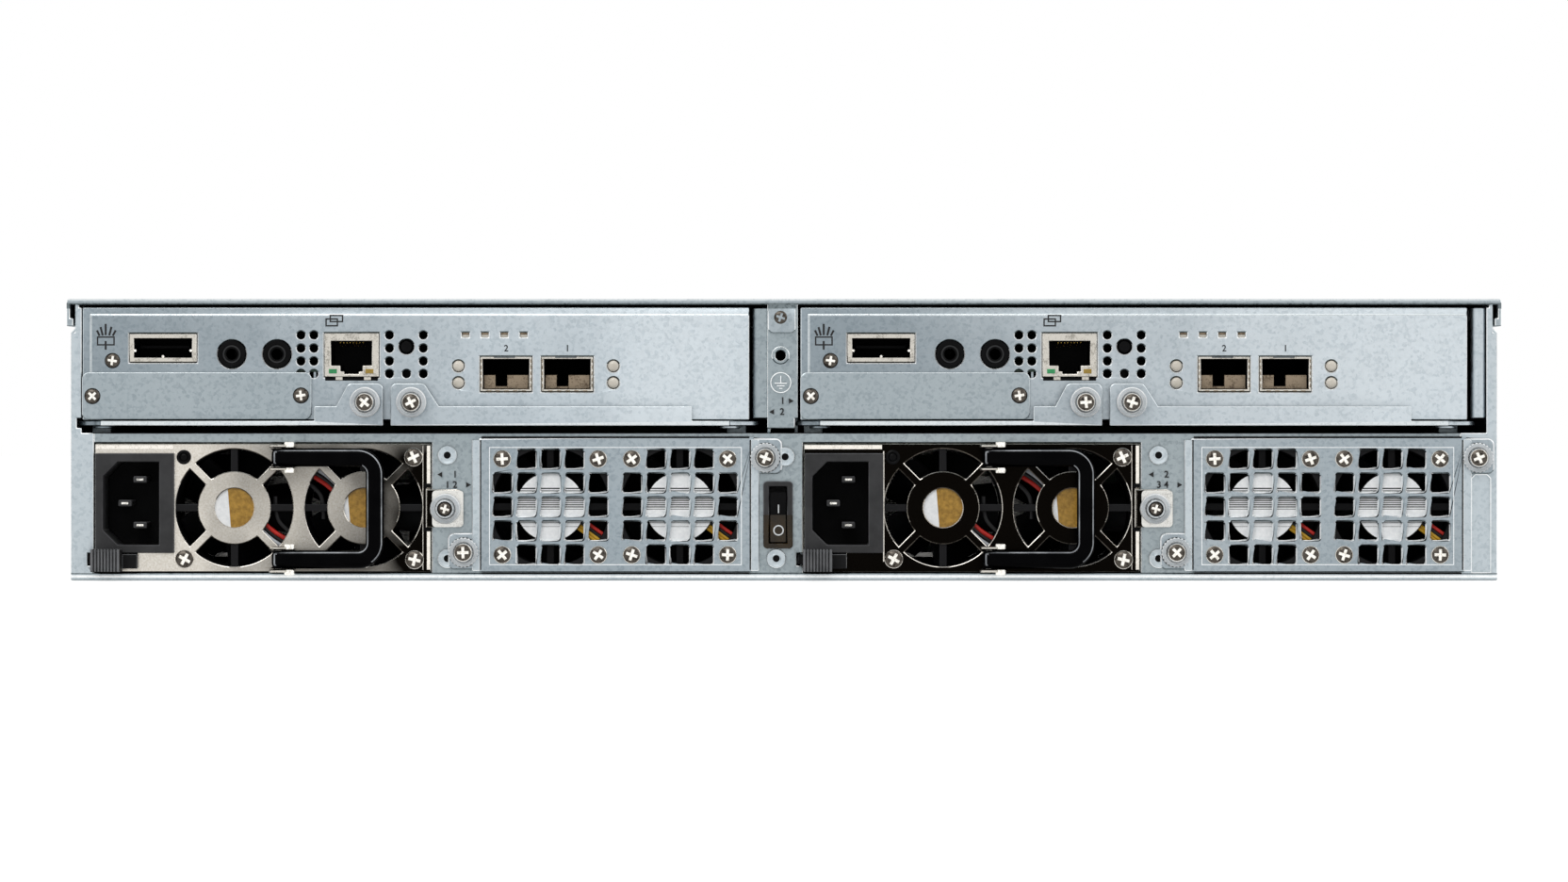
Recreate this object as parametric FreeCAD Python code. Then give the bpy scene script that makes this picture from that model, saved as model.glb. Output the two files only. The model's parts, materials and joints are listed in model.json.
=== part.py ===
import FreeCAD, Part
import os
from math import cos, radians, sin, tan

# Rear-serviced 2U disk shelf. Millimetres, +X right and +Z up as the service side is seen, +Y from the
# service side to the drive side. Every piece is drawn with the chassis rear edge at y = 0 and is moved at
# the end, so that the finished shelf stands centred on its origin.

# ---- sizes that the shelf is built round ----
body_height = 87.2
ctrl_width = 206.6
module_depth = 278.0        # controllers and power supplies, behind their faces
carrier_depth = 170.0
sheet = 1.2                 # steel of the chassis, frame and module panels
thin_sheet = 1.0            # steel of the cover, shelf and inner walls
fit = 0.3                   # gap round anything that slides
lip_gap = 0.1               # gap between two folded sheets

# ---- chassis ----
ctrl_margin = 3.6           # side of the body to the left controller
ctrl_between = 15.9         # divider, its guide and the lever toes between the controllers
guide_strip = 9.3           # the same guide strip at the right wall, with its gap
body_width = 2 * ctrl_width + ctrl_margin + ctrl_between + guide_strip
drive_proud = 4.0
connector_room = 11.6       # midplane to the back of the drive carriers
midplane_thick = 2.4
socket_depth = 7.0
link_gap = 0.3
link_stub = 2.7             # connectors behind the modules
midplane_y = module_depth + link_stub + link_gap + socket_depth
body_depth = midplane_y + midplane_thick + connector_room + carrier_depth - drive_proud
cover_overhang = 1.2        # cover beyond the walls at each side
cover_width = body_width + 2 * cover_overhang
ear_side_depth = 62.0
cover_stop = 6.0            # front edge of the cover to the arms of the rack ears
cover_depth = body_depth - ear_side_depth - cover_stop
cover_lip = 8.4             # drop of the cover's side lips
cover_hem = 2.4             # folded edge at the foot of each lip
cover_fold = 1.7            # turned-down rear edge
wall_joggle = 1.3           # inward step of the walls under the lips
joggle_drop = 2.0           # foot of the lips to the step
wall_joggle_z = body_height - cover_lip - joggle_drop
rear_hem = 2.2              # folded rear edge of the floor
rear_hem_depth = 6.0
post_flange = 7.1           # inward flange of the side walls beside the lower bays
bay_flange = 3.3            # the same beside the controllers

# ---- rear frame, shelf and dividers ----
shelf_top = 45.65
frame_rail = 2.9            # height of the frame's top rail
bay_end = 4.0               # end of the bay walls to the midplane
bay_depth = midplane_y - bay_end
column_left = -5.2
column_right = 4.3
column_foot = 47.2
guide_width = 4.5
guide_depth = 4.2
guide_round = 2.0
right_guide_inset = 7.8     # side of the body to the guide beside the right controller
right_guide_left = body_width / 2 - right_guide_inset
cover_tab_left = -4.9
cover_tab_right = 3.6
cover_tab_drop = 10.5
notch_height = 3.1          # clear height for the lever toes above the column foot
cover_tab_round = 1.6
ground_x = -1.07
ground_z = 69.7
ground_boss_r = 2.6
ground_boss_proud = 0.5
ground_core_r = 1.65        # tapping size of an M4 thread
ground_depth = 6.0
rail_width = 6.0
ctrl_rail_start = 18.0      # the controllers' rails begin behind the sweep of the lever toes
rib_width = 8.0             # pressed ribs in the floor that carry the lower modules
rib_shares = (0.12, 0.8)      # places of the two ribs across a bay
rib_start = 8.0

# ---- controllers ----
ctrl_x = ctrl_margin - body_width / 2
ctrl_pitch = ctrl_width + ctrl_between
ctrl_z = 47.8
ctrl_top_gap = 0.9          # under the cover's rear edge
ctrl_height = body_height - cover_fold - ctrl_top_gap - ctrl_z
ctrl_panel_y = 0.5          # the panel's outer face stands this far inside the rear edge
ctrl_panel_foot = 1.9
ctrl_step_left = 2.6        # raised field of the panel: its margin at the left
ctrl_step_top = 2.3
ctrl_step = 0.4
vent_r = 1.36
vent_left_columns = (67.7, 71.7)
vent_right_columns = (95.1, 105.6)
vent_rows = (28.2, 24.1, 20.1, 16.2)
vent_extra = (100.4, 16.2)
button_x = 100.4
button_z = 24.6
button_r = 1.75
button_hole_r = 2.4
button_collar_r = 3.0
button_travel = 1.0
button_proud = 0.4
button_length = 6.0
switch_body = 5.0
window_x = 118.7
window_pitch = 6.0
window_count = 4
window_z = 28.3
window_width = 2.4
window_height = 1.7
pipe_columns = (116.5, 164.5)
pipe_rows = (13.4, 18.6)
pipe_r = 1.7
pipe_gap = 0.2
pipe_leg_y = 8.0
jack_columns = (46.3, 60.3)
jack_z = 22.3
jack_hole_r = 4.5
jack_barrel_r = 3.4
jack_bore_r = 1.8           # for a 3.5 mm plug
jack_bore_depth = 12.0
jack_body = 8.0
jack_length = 14.0
sas_left = 14.6
sas_width = 20.8
sas_foot = 19.8
sas_height = 8.8
sas_wall = 1.5
sas_depth = 18.0
tongue_front = 6.0
tongue_inset = 1.2
rj_left = 75.0
rj_width = 16.8
rj_foot = 15.2
rj_height = 13.6
rj_depth = 16.0
rj_back = 2.0
rj_steps = ((6.3, 3.6, 11.1), (3.4, 1.8, 3.6), (2.2, 1.0, 1.8))    # half width, foot and top of each step
sfp_lefts = (123.3, 142.3)
sfp_width = 15.9
sfp_foot = 10.7
sfp_height = 10.8
sfp_wall = 0.8
sfp_depth = 48.0
port_proud = 0.5            # how far the port shells stand out of the panel's raised field
port_gap = 0.2
board_thick = 1.6
board_margin = 8.0
board_post_inset = 16.6
board_post_columns = (80.0, ctrl_width - board_post_inset)
board_post_rows = (20.0, 250.0)
post_size = 5.0
daughter_right = 73.4
daughter_foot = 16.9
daughter_depth = 110.0
blank_width = 71.0
blank_foot = 2.1
blank_height = 14.5
blank_round = 2.0
blank_border = 3.4          # how far the plate overlaps the edge of its opening
link_inset = 26.6           # connector to the midplane: from the right side
link_length = 16.0
link_width = 90.0
link_left = ctrl_width - link_inset - link_width
link_height = 12.0

# ---- controller levers ----
lever_sheet = 1.4
lever_foot = 0.2
lever_gap = 2.1             # from the panel's raised field to the back of the lever's flange
pivot_inset = 6.0
pivot_y = 6.0
pivot_r = 1.9
pivot_head_r = 3.2
pivot_head = 0.8
running_gap = 0.05
toe_r = 3.2
left_toe_reach = 1.5        # toe beyond the edge of the controller
right_toe_reach = 2.8
arm_depth = 5.0             # breadth of the flat arm under the panel
left_flange = (72.1, 78.9, 82.6, 93.3)
right_flange_inset = 17.7
right_flange = (95.7, 106.0, 110.6, ctrl_width - right_flange_inset)
flange_low = 6.1
flange_high = 13.2
lever_screw_left = 88.0
lever_screw_right = 102.3
lever_screw_z = 7.35
lever_screw_entry = 1.0      # length of the screw's tip inside the panel
hub_wall = 2.3
neck_width = 8.0
flange_round = 1.8

# ---- thumbscrews ----
thumb_ring_r = 4.7
thumb_ring = 3.0
thumb_head_r = 3.1
thumb_head = 2.6
thumb_shank_r = 1.5
thumb_reach = 2.4           # length of the shank beyond the sheet that holds it
thumb_hole_gap = 0.35

# ---- power supplies ----
psu_x = post_flange - body_width / 2
psu_z = 2.3
psu_width = 104.8
psu_height = 40.4
psu_face_y = 0.4
psu_wall = 0.8
inlet_right = 25.0
inlet_foot = 6.2
inlet_height = 30.9
inlet_proud = 1.6
inlet_depth = 24.0
inlet_cavity_left = 3.0
inlet_cavity_width = 17.4
inlet_cavity_foot = 8.7
inlet_cavity_height = 25.7
inlet_cavity_depth = 17.0
inlet_chamfer = 4.6
pin_points = ((14.2, 28.95), (9.5, 21.6), (14.2, 14.8))
pin_width = 4.0
pin_thick = 2.0
pin_length = 14.5
psu_led_x = 27.9
psu_led_z = 35.9
psu_led_r = 1.8
psu_fan_columns = (43.5, 83.6)
psu_fan_z = 20.2
opening_r = 18.3
hub_disc_r = 11.3
hub_hole_r = 6.1
spoke_width = 2.4
latch_width = 8.9
latch_foot = 0.5
latch_height = 7.0
latch_proud = 10.5
latch_gap = 0.4
latch_ribs = 9
latch_rib_depth = 0.5
latch_travel = 4.0
latch_stem_right = 13.6
latch_stem_foot = 2.6
latch_stem_height = 3.2
latch_tongue = 1.5          # reach of the tongue into the chassis beside the bay
latch_plate = 1.2
latch_neck = 1.6             # room between the knob and the face for the inlet's flange
latch_neck_left = 0.6
latch_neck_foot = 1.4
latch_stem_left = 5.0
latch_stem_width = 4.0
handle_pivot_x = 57.6
handle_right = 90.3
handle_foot = 1.5
handle_top = 38.6
handle_strap = 5.6
handle_thick = 4.0
handle_round = 8.0
handle_y = -5.6             # middle of the strap when it lies folded
handle_pin_r = 1.3
lug_width = 5.6
lug_sheet = 0.9
lug_round = 1.5
tab_round = 1.5
inlet_lap = 1.2
psu_vent_count = 6
psu_vent_left = 10.0
psu_vent_pitch = 15.0
psu_vent_width = 8.0
psu_vent_height = 8.0
psu_vent_foot = 28.0
psu_board_start = 44.0
psu_foot_shares = (0.2, 0.75)
psu_foot_front = 10.0        # front feet behind the edge of the board
psu_foot_back = 20.0         # rear feet before the end of the case
psu_block_start = 20.0       # parts behind the edge of the board
psu_board_lift = 3.0
psu_blocks = ((14.0, 12.0, 150.0, 22.0), (46.0, 26.0, 60.0, 24.0), (84.0, 10.0, 150.0, 22.0))
psu_link_left = 35.0
psu_link_width = 40.0
psu_link_foot = 10.0
psu_link_height = 14.0
psu_tab_left = 103.2
psu_tab_width = 10.9
psu_tab_foot = 14.2
psu_tab_height = 11.7
psu_screw_x = 109.1
psu_screw_z = 19.9

# ---- fan trays ----
tray_z = 2.3
tray_width = 82.0
lower_post = 15.9           # frame post between a power supply and its fan tray
right_post = 12.5
right_post_extra = 0.9
switch_post = body_width - 2 * (psu_width + lower_post + tray_width) - post_flange - right_post
psu_pitch = psu_width + lower_post + tray_width + switch_post
tray_x = psu_x + psu_width + lower_post
tray_pitch = psu_pitch + right_post_extra
tray_height = 41.7
tray_depth = 32.0
tray_foot = 0.2
tray_floor_foot = 0.3
tray_lap = 1.4              # how far the panel lies over the posts
tray_fan_columns = (20.8, 60.9)
tray_fan_z = 20.5
grille_count = 5
grille_pitch = 7.42
grille_hole = 5.8
tray_tab_round = 2.0
left_tab = (-10.9, 1.1, 11.3)
right_tab = (92.6, 30.7, 11.0)
left_tab_screw = (-6.0, 6.4)
right_tab_screw = (87.4, 35.7)

# ---- fans ----
fan_size = 38.0
fan_depth = 28.0
fan_bore_r = 18.2
motor_r = 10.8
motor_thick = 3.0
strut_width = 2.2
rotor_hub_r = 10.2
rotor_gap = 0.5
blade_tip_gap = 0.6
blade_count = 5
blade_thick = 1.0
blade_angle = 44.0          # pitch of the flat blades
shaft_r = 1.5
motor_skin = 1.0
blade_middle = 15.0
blade_root_share = 0.86      # the blades start inside the hub
blade_root_chord = 18.0
blade_tip_chord = 21.0
rotor_back_gap = 1.5

# ---- power switch ----
switch_left = -6.4
switch_width = 9.1
switch_foot = 9.9
switch_height = 20.8
switch_proud = 1.6
switch_round = 1.2
switch_depth = 14.0
rocker_left = -4.3
rocker_width = 4.9
rocker_height = 15.7
rocker_gap = 0.35
rocker_pivot_y = 3.4
rocker_back = 7.0
rocker_pin_r = 1.0
rocker_pin = 0.5
rocker_stand = 0.6
rocker_end_gap = 0.95       # room for the rocker's ends as they swing
switch_lap = 0.8
well_floor_gap = 1.0
rocker_back_share = 0.45     # height of the rocker's back, as a share of its face
rocker_tilt = 7.0           # degrees each face leans from the middle

# ---- midplane, drive cage and drives ----
midplane_margin = 3.0
drive_columns = 4
cage_margin = 3.2
column_pitch = (body_width - 2 * cage_margin) / drive_columns
drive_rows = 3
row_pitch = 27.9
row_foot = 2.0
carrier_height = 26.6
carrier_gap = 0.4
bezel_depth = 18.0
disk_width = 101.6
disk_height = 25.4
disk_lift = 0.6
side_rail_height = 13.0
ledge_width = 3.0
ledge_thick = 0.7
window_inset = 20.0
air_window = 7.0
drive_link_width = 36.0
drive_link_height = 6.0
drive_link_foot = 9.0
drive_link_depth = 8.0
bezel_round = 1.5
slot_margin = 6.0
slot_rib = 4.0
slot_foot = 4.0
grip_recess = 10.0
grip_gap = 0.4
grip_round = 2.5
disk_front_gap = 2.0
grip_height = 9.0
bezel_slots = 3
bezel_slot_height = 2.6

# ---- rack ears ----
ear_reach = 20.3
ear_width = body_width + 2 * ear_reach
ear_plate = 2.0
slot_inset = 8.75           # middle of a slot to the ear's outer edge
rack_pitch_x = ear_width - 2 * slot_inset
rack_pitch_z = 76.2
slot_r = 3.4
slot_length = 10.2          # over the round ends
ear_round = 3.0

half_width = body_width / 2
half_cover = cover_width / 2
wall_inner = half_width - sheet
joggle_outer = half_width - wall_joggle
cover_under = body_height - thin_sheet
field_y = ctrl_panel_y - ctrl_step
flange_back = field_y - lever_gap
flange_front = flange_back - lever_sheet
center_shift = -(body_depth + drive_proud - latch_proud) / 2


def box(x0, x1, y0, y1, z0, z1):
    return Part.makeBox(x1 - x0, y1 - y0, z1 - z0, FreeCAD.Vector(x0, y0, z0))


def rod_y(radius, x, z, y0, y1):
    return Part.makeCylinder(radius, y1 - y0, FreeCAD.Vector(x, y0, z), FreeCAD.Vector(0, 1, 0))


def rod_z(radius, x, y, z0, z1):
    return Part.makeCylinder(radius, z1 - z0, FreeCAD.Vector(x, y, z0), FreeCAD.Vector(0, 0, 1))


def rod_x(radius, y, z, x0, x1):
    return Part.makeCylinder(radius, x1 - x0, FreeCAD.Vector(x0, y, z), FreeCAD.Vector(1, 0, 0))


def prism(points, direction):
    wire = Part.makePolygon(points + [points[0]])
    return Part.Face(wire).extrude(direction)


def prism_y(points, y0, y1):
    return prism([FreeCAD.Vector(x, y0, z) for x, z in points], FreeCAD.Vector(0, y1 - y0, 0))


def prism_z(points, z0, z1):
    return prism([FreeCAD.Vector(x, y, z0) for x, y in points], FreeCAD.Vector(0, 0, z1 - z0))


def prism_x(points, x0, x1):
    return prism([FreeCAD.Vector(x0, y, z) for y, z in points], FreeCAD.Vector(x1 - x0, 0, 0))


def edges_along(shape, axis, test=None):
    found = []
    for edge in shape.Edges:
        if len(edge.Vertexes) != 2:
            continue
        run = edge.Vertexes[1].Point - edge.Vertexes[0].Point
        if run.Length > 0 and abs(abs(run.normalize().dot(axis)) - 1) < 1e-6:
            if test is None or test(edge.CenterOfMass):
                found.append(edge)
    return found


AXIS_X = FreeCAD.Vector(1, 0, 0)
AXIS_Y = FreeCAD.Vector(0, 1, 0)
AXIS_Z = FreeCAD.Vector(0, 0, 1)


def rounded(shape, radius, axis, test=None):
    return shape.makeFillet(radius, edges_along(shape, axis, test))


def fused(shapes):
    joined = shapes[0].fuse(list(shapes[1:])) if len(shapes) > 1 else shapes[0]
    return joined.removeSplitter()


def cut(shape, tools):
    return shape.cut(list(tools)).removeSplitter()


def moved(shape, x, z):
    copy = shape.copy()
    copy.translate(FreeCAD.Vector(x, 0, z))
    return copy


def save(name, shapes):
    solids = []
    for shape in shapes:
        solids += shape.Solids
    whole = Part.makeCompound(solids)
    whole.translate(FreeCAD.Vector(0, center_shift, 0))
    whole.exportStep("parts/" + name + ".step")


# ---------------- chassis ----------------

def psu_bays():
    return [psu_x, psu_x + psu_pitch]


def tray_bays():
    return [tray_x, tray_x + tray_pitch]


def ctrl_bays():
    return [ctrl_x, ctrl_x + ctrl_pitch]


def latch_notches():
    """Rear-open notches beside the power supply bays, one for each latch tongue."""
    low = psu_z + latch_stem_foot - latch_gap
    high = psu_z + latch_stem_foot + latch_stem_height + latch_gap
    reach = latch_tongue + latch_gap
    depth = psu_face_y + psu_wall + fit + latch_plate + latch_gap
    return [box(x - reach, x, 0, depth, low, high) for x in psu_bays()]


def screw_holes(y0, y1):
    radius = thumb_shank_r + thumb_hole_gap
    holes = [rod_y(radius, x + psu_screw_x, psu_z + psu_screw_z, y0, y1) for x in psu_bays()]
    for x in tray_bays():
        for u, w in (left_tab_screw, right_tab_screw):
            holes.append(rod_y(radius, x + u, tray_z + w, y0, y1))
    return holes


def side_wall():
    """Right-hand wall, stepped inward below the cover's lip."""
    top = cover_under - lip_gap
    outer = [(half_width, 0), (half_width, wall_joggle_z), (joggle_outer, wall_joggle_z + wall_joggle)]
    inner = [(joggle_outer - sheet, wall_joggle_z + wall_joggle), (wall_inner, wall_joggle_z), (wall_inner, 0)]
    profile = outer + [(joggle_outer, top), (joggle_outer - sheet, top)] + inner
    return prism_y(profile, 0, body_depth - ear_plate)


def chassis_tray():
    length = body_depth - ear_plate
    wall = side_wall()
    top = cover_under - cover_fold
    right_post = tray_bays()[1] + tray_width + fit
    toe_notch_top = column_foot + notch_height
    toe_reach = left_toe_reach + fit
    pieces = [
        box(-half_width, half_width, 0, length, 0, sheet),
        box(-half_width, half_width, 0, rear_hem_depth, 0, rear_hem),
        wall,
        wall.mirror(FreeCAD.Vector(0, 0, 0), AXIS_X),
        box(-half_width, -half_width + post_flange, 0, sheet, 0, shelf_top),
        box(right_post, half_width, 0, sheet, 0, shelf_top),
    ]
    for side in (-1, 1):
        low = sorted((side * (half_width - bay_flange), side * half_width))
        high = sorted((side * (half_width - bay_flange), side * joggle_outer))
        pieces.append(box(low[0], low[1], 0, sheet, shelf_top, wall_joggle_z))
        pieces.append(box(high[0], high[1], 0, sheet, wall_joggle_z, top))
    guide = box(right_guide_left, right_guide_left + guide_width, fit, guide_depth, toe_notch_top, top)
    pieces.append(rounded(guide, guide_round, AXIS_Z, lambda p: p.y < guide_depth / 2))
    for x in psu_bays():
        for share in rib_shares:
            u = psu_width * share
            pieces.append(box(x + u, x + u + rib_width, rib_start, module_depth, sheet, psu_z))
    for x in tray_bays():
        for share in rib_shares:
            u = tray_width * share
            pieces.append(box(x + u, x + u + rib_width, rib_start, tray_depth, sheet, tray_z))
    body = fused(pieces)
    toe = box(ctrl_x - toe_reach, ctrl_x, 0, sheet, column_foot, toe_notch_top)
    body = cut(body, latch_notches() + screw_holes(0, sheet) + [toe])
    return [rounded(body, rear_hem / 2 - lip_gap, AXIS_X, lambda p: p.y < lip_gap and p.z < rear_hem)]


def top_cover():
    foot = body_height - cover_lip
    plate = box(-half_cover, half_cover, -thin_sheet, cover_depth, cover_under, body_height)
    pieces = [plate]
    for side in (-1, 1):
        outer = side * half_cover
        inner = side * (half_cover - thin_sheet)
        hem = side * (half_cover - 2 * thin_sheet)
        lip = box(min(outer, inner), max(outer, inner), -thin_sheet, cover_depth, foot, body_height)
        fold = box(min(inner, hem), max(inner, hem), -thin_sheet, cover_depth, foot, foot + cover_hem)
        pieces += [lip, fold]
    edge = half_cover - thin_sheet
    pieces.append(box(-edge, edge, -thin_sheet, 0, body_height - cover_fold, body_height))
    tab_foot = body_height - cover_tab_drop
    tab = box(cover_tab_left, cover_tab_right, -thin_sheet, 0, tab_foot, body_height)
    pieces.append(rounded(tab, cover_tab_round, AXIS_Y, lambda p: p.z < tab_foot + thin_sheet))
    body = fused(pieces)
    return [rounded(body, thin_sheet, AXIS_Y, lambda p: abs(p.x) > edge and p.z > cover_under)]


def rear_frame():
    """Lower frame bent back into the shelf, the walls of the lower bays and the upper centre divider."""
    psu_left, psu_right = psu_bays()
    tray_left, tray_right = tray_bays()
    right_post = tray_right + tray_width + fit
    frame_left = -half_width + post_flange
    posts = [
        (psu_left + psu_width, tray_left - fit),
        (tray_left + tray_width + fit, psu_right),
        (psu_right + psu_width, tray_right - fit),
    ]
    under_shelf = shelf_top - thin_sheet
    shelf = box(fit - wall_inner, wall_inner - fit, sheet, bay_depth, under_shelf, shelf_top)
    rail = box(frame_left + lip_gap, right_post - lip_gap, 0, sheet, shelf_top - frame_rail, shelf_top)
    pieces = [shelf, rail]
    pieces += [box(x0, x1, 0, sheet, rear_hem, shelf_top) for x0, x1 in posts]
    rail_top = ctrl_z + ctrl_panel_foot - fit
    for x in ctrl_bays():
        for u in (thin_sheet, ctrl_width - thin_sheet - rail_width):
            left = x + u
            pieces.append(box(left, left + rail_width, ctrl_rail_start, bay_depth, shelf_top, rail_top))
    frame = fused(pieces)
    hole_gap = port_gap
    switch_hole = box(
        switch_left + switch_lap - hole_gap, switch_left + switch_width - switch_lap + hole_gap, 0, sheet,
        switch_foot + switch_lap - hole_gap, switch_foot + switch_height - switch_lap + hole_gap)
    frame = cut(frame, latch_notches() + screw_holes(0, sheet) + [switch_hole])
    walls = []
    for x in psu_bays():
        for left in (x - thin_sheet, x + psu_width):
            wall = box(left, left + thin_sheet, sheet, bay_depth, sheet, under_shelf)
            wall = cut(wall, [box(left, left + thin_sheet, sheet, rear_hem_depth, sheet, rear_hem)])
            walls.append(cut(wall, latch_notches()))
    return [frame] + walls + centre_divider()


def centre_divider():
    top = cover_under - lip_gap
    toe_notch_top = column_foot + notch_height
    swing_depth = pivot_y + pivot_inset + right_toe_reach + fit
    face = box(column_left, column_right, 0, sheet, column_foot, top)
    left = box(column_left, column_left + thin_sheet, sheet, bay_depth, shelf_top, top)
    right = box(column_right - thin_sheet, column_right, sheet, bay_depth, shelf_top, top)
    guide_left = column_left - guide_width
    guide = box(guide_left, column_left, fit, guide_depth, toe_notch_top, top - cover_fold)
    guide = rounded(guide, guide_round, AXIS_Z, lambda p: p.y < guide_depth / 2 and p.x < column_left - 1)
    boss = rod_y(ground_boss_r, ground_x, ground_z, -ground_boss_proud, ground_depth)
    body = fused([face, left, right, boss])
    toe_left = ctrl_bays()[1] - left_toe_reach - fit
    notch = box(toe_left, column_right, 0, swing_depth, shelf_top, toe_notch_top)
    hole = rod_y(ground_core_r, ground_x, ground_z, -ground_boss_proud, ground_depth)
    return [cut(body, [notch, hole]), guide]


def rack_ears():
    ears = []
    for side in (-1, 1):
        plate_inner, plate_outer = sorted((side * half_width, side * (half_width + ear_plate)))
        arm = box(plate_inner, plate_outer, body_depth - ear_side_depth, body_depth, sheet, cover_under)
        inner, outer = sorted((side * wall_inner, side * ear_width / 2))
        flange = box(inner, outer, body_depth - ear_plate, body_depth, 0, body_height)
        flange = rounded(flange, ear_round, AXIS_Y, lambda p: abs(p.x) > half_width + ear_plate)
        slots = []
        run = slot_length / 2 - slot_r
        for z in (-rack_pitch_z / 2, rack_pitch_z / 2):
            x = side * rack_pitch_x / 2
            level = body_height / 2 + z
            y0, y1 = body_depth - ear_plate, body_depth
            slots.append(rod_y(slot_r, x - run, level, y0, y1))
            slots.append(rod_y(slot_r, x + run, level, y0, y1))
            slots.append(box(x - run, x + run, y0, y1, level - slot_r, level + slot_r))
        ears.append(cut(fused([arm, flange]), slots))
    return ears


# ---------------- power switch ----------------

def power_switch():
    x0, x1 = switch_left, switch_left + switch_width
    z0, z1 = switch_foot, switch_foot + switch_height
    lap = switch_lap
    bezel = rounded(box(x0, x1, -switch_proud, 0, z0, z1), switch_round, AXIS_Y)
    housing = box(x0 + lap, x1 - lap, 0, switch_depth, z0 + lap, z1 - lap)
    body = fused([bezel, housing])
    middle = switch_foot + switch_height / 2
    well_half = rocker_height / 2 + rocker_end_gap
    well = box(rocker_left - rocker_gap, rocker_left + rocker_width + rocker_gap, -switch_proud,
               rocker_back + rocker_gap + well_floor_gap, middle - well_half, middle + well_half)
    pin_gap = rocker_gap + rocker_pin + running_gap
    socket = rod_x(rocker_pin_r + running_gap, rocker_pivot_y, middle,
                   rocker_left - pin_gap, rocker_left + rocker_width + pin_gap)
    return [cut(body, [well, socket])]


def power_rocker():
    middle = switch_foot + switch_height / 2
    half = rocker_height / 2
    dip = half * tan(radians(rocker_tilt))
    ends_y = -switch_proud - rocker_stand
    outline = [(ends_y, middle - half), (ends_y + dip, middle), (ends_y, middle + half)]
    inset = half * rocker_back_share
    outline += [(rocker_back, middle + inset), (rocker_back, middle - inset)]
    body = prism_x(outline, rocker_left, rocker_left + rocker_width)
    pins = rod_x(rocker_pin_r, rocker_pivot_y, middle,
                 rocker_left - rocker_gap - rocker_pin, rocker_left + rocker_width + rocker_gap + rocker_pin)
    rocker = fused([body, pins])
    rocker.rotate(FreeCAD.Vector(0, rocker_pivot_y, middle), AXIS_X, rocker_tilt)
    return [rocker]


# ---------------- controllers (drawn with the panel's lower left corner at x = 0, z = 0) ----------------

def port_hole(left, foot, width, height, y0, y1):
    return box(left - port_gap, left + width + port_gap, y0, y1, foot - port_gap, foot + height + port_gap)


def panel_holes(y0, y1):
    holes = []
    vents = [(u, w) for u in vent_left_columns + vent_right_columns for w in vent_rows]
    vents.append(vent_extra)
    holes += [rod_y(vent_r, u, w, y0, y1) for u, w in vents]
    holes += [rod_y(jack_hole_r, u, jack_z, y0, y1) for u in jack_columns]
    holes.append(rod_y(button_hole_r, button_x, button_z, y0, y1))
    holes += [rod_y(pipe_r + pipe_gap, u, w, y0, y1) for u in pipe_columns for w in pipe_rows]
    screw_r = thumb_shank_r + thumb_hole_gap
    holes += [rod_y(screw_r, u, lever_screw_z, y0, y1) for u in (lever_screw_left, lever_screw_right)]
    for n in range(window_count):
        u = window_x + n * window_pitch
        half_w, half_h = window_width / 2, window_height / 2
        holes.append(box(u - half_w, u + half_w, y0, y1, window_z - half_h, window_z + half_h))
    holes.append(port_hole(sas_left, sas_foot, sas_width, sas_height, y0, y1))
    holes.append(port_hole(rj_left, rj_foot, rj_width, rj_height, y0, y1))
    holes += [port_hole(u, sfp_foot, sfp_width, sfp_height, y0, y1) for u in sfp_lefts]
    border = blank_border
    holes.append(box(border, blank_width - border, y0, y1, blank_foot + border, blank_foot + blank_height - border))
    return holes


def controller_panel():
    """Flat rear panel in two sheets that meet above the edge of the module bay, with a raised field."""
    back = ctrl_panel_y + sheet
    foot = ctrl_panel_foot
    panel = box(0, ctrl_width, ctrl_panel_y, back, foot, ctrl_height)
    field = box(ctrl_step_left, ctrl_width, field_y, ctrl_panel_y, foot, ctrl_height - ctrl_step_top)
    pierced = cut(fused([panel, field]), panel_holes(field_y, back))
    sheets = [(0, daughter_right), (daughter_right, ctrl_width)]
    return [pierced.common(box(left, right, field_y, back, foot, ctrl_height)) for left, right in sheets]


def controller_tray():
    """Folded tray behind the panel, with the posts of the boards and the pins of the two levers."""
    back = ctrl_panel_y + sheet
    foot = ctrl_panel_foot
    floor_top = foot + thin_sheet
    wall_top = daughter_foot
    floor = box(0, ctrl_width, back, module_depth, foot, floor_top)
    left = box(0, thin_sheet, back, module_depth, foot, wall_top)
    right = box(ctrl_width - thin_sheet, ctrl_width, back, module_depth, foot, wall_top)
    bay_wall = box(daughter_right - 2 * thin_sheet, daughter_right - thin_sheet, back, daughter_depth,
                   floor_top, daughter_foot)
    pieces = [floor, left, right, bay_wall]
    board_foot = sfp_foot - board_thick
    for u in board_post_columns:
        for y in board_post_rows:
            pieces.append(box(u, u + post_size, y, y + post_size, floor_top, board_foot))
    for u in (pivot_inset, ctrl_width - pivot_inset):
        plate_foot = lever_foot - lip_gap
        pieces.append(rod_z(pivot_r, u, pivot_y, plate_foot, foot))
        pieces.append(rod_z(pivot_head_r, u, pivot_y, plate_foot - pivot_head, plate_foot))
    return [fused(pieces)]


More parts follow.
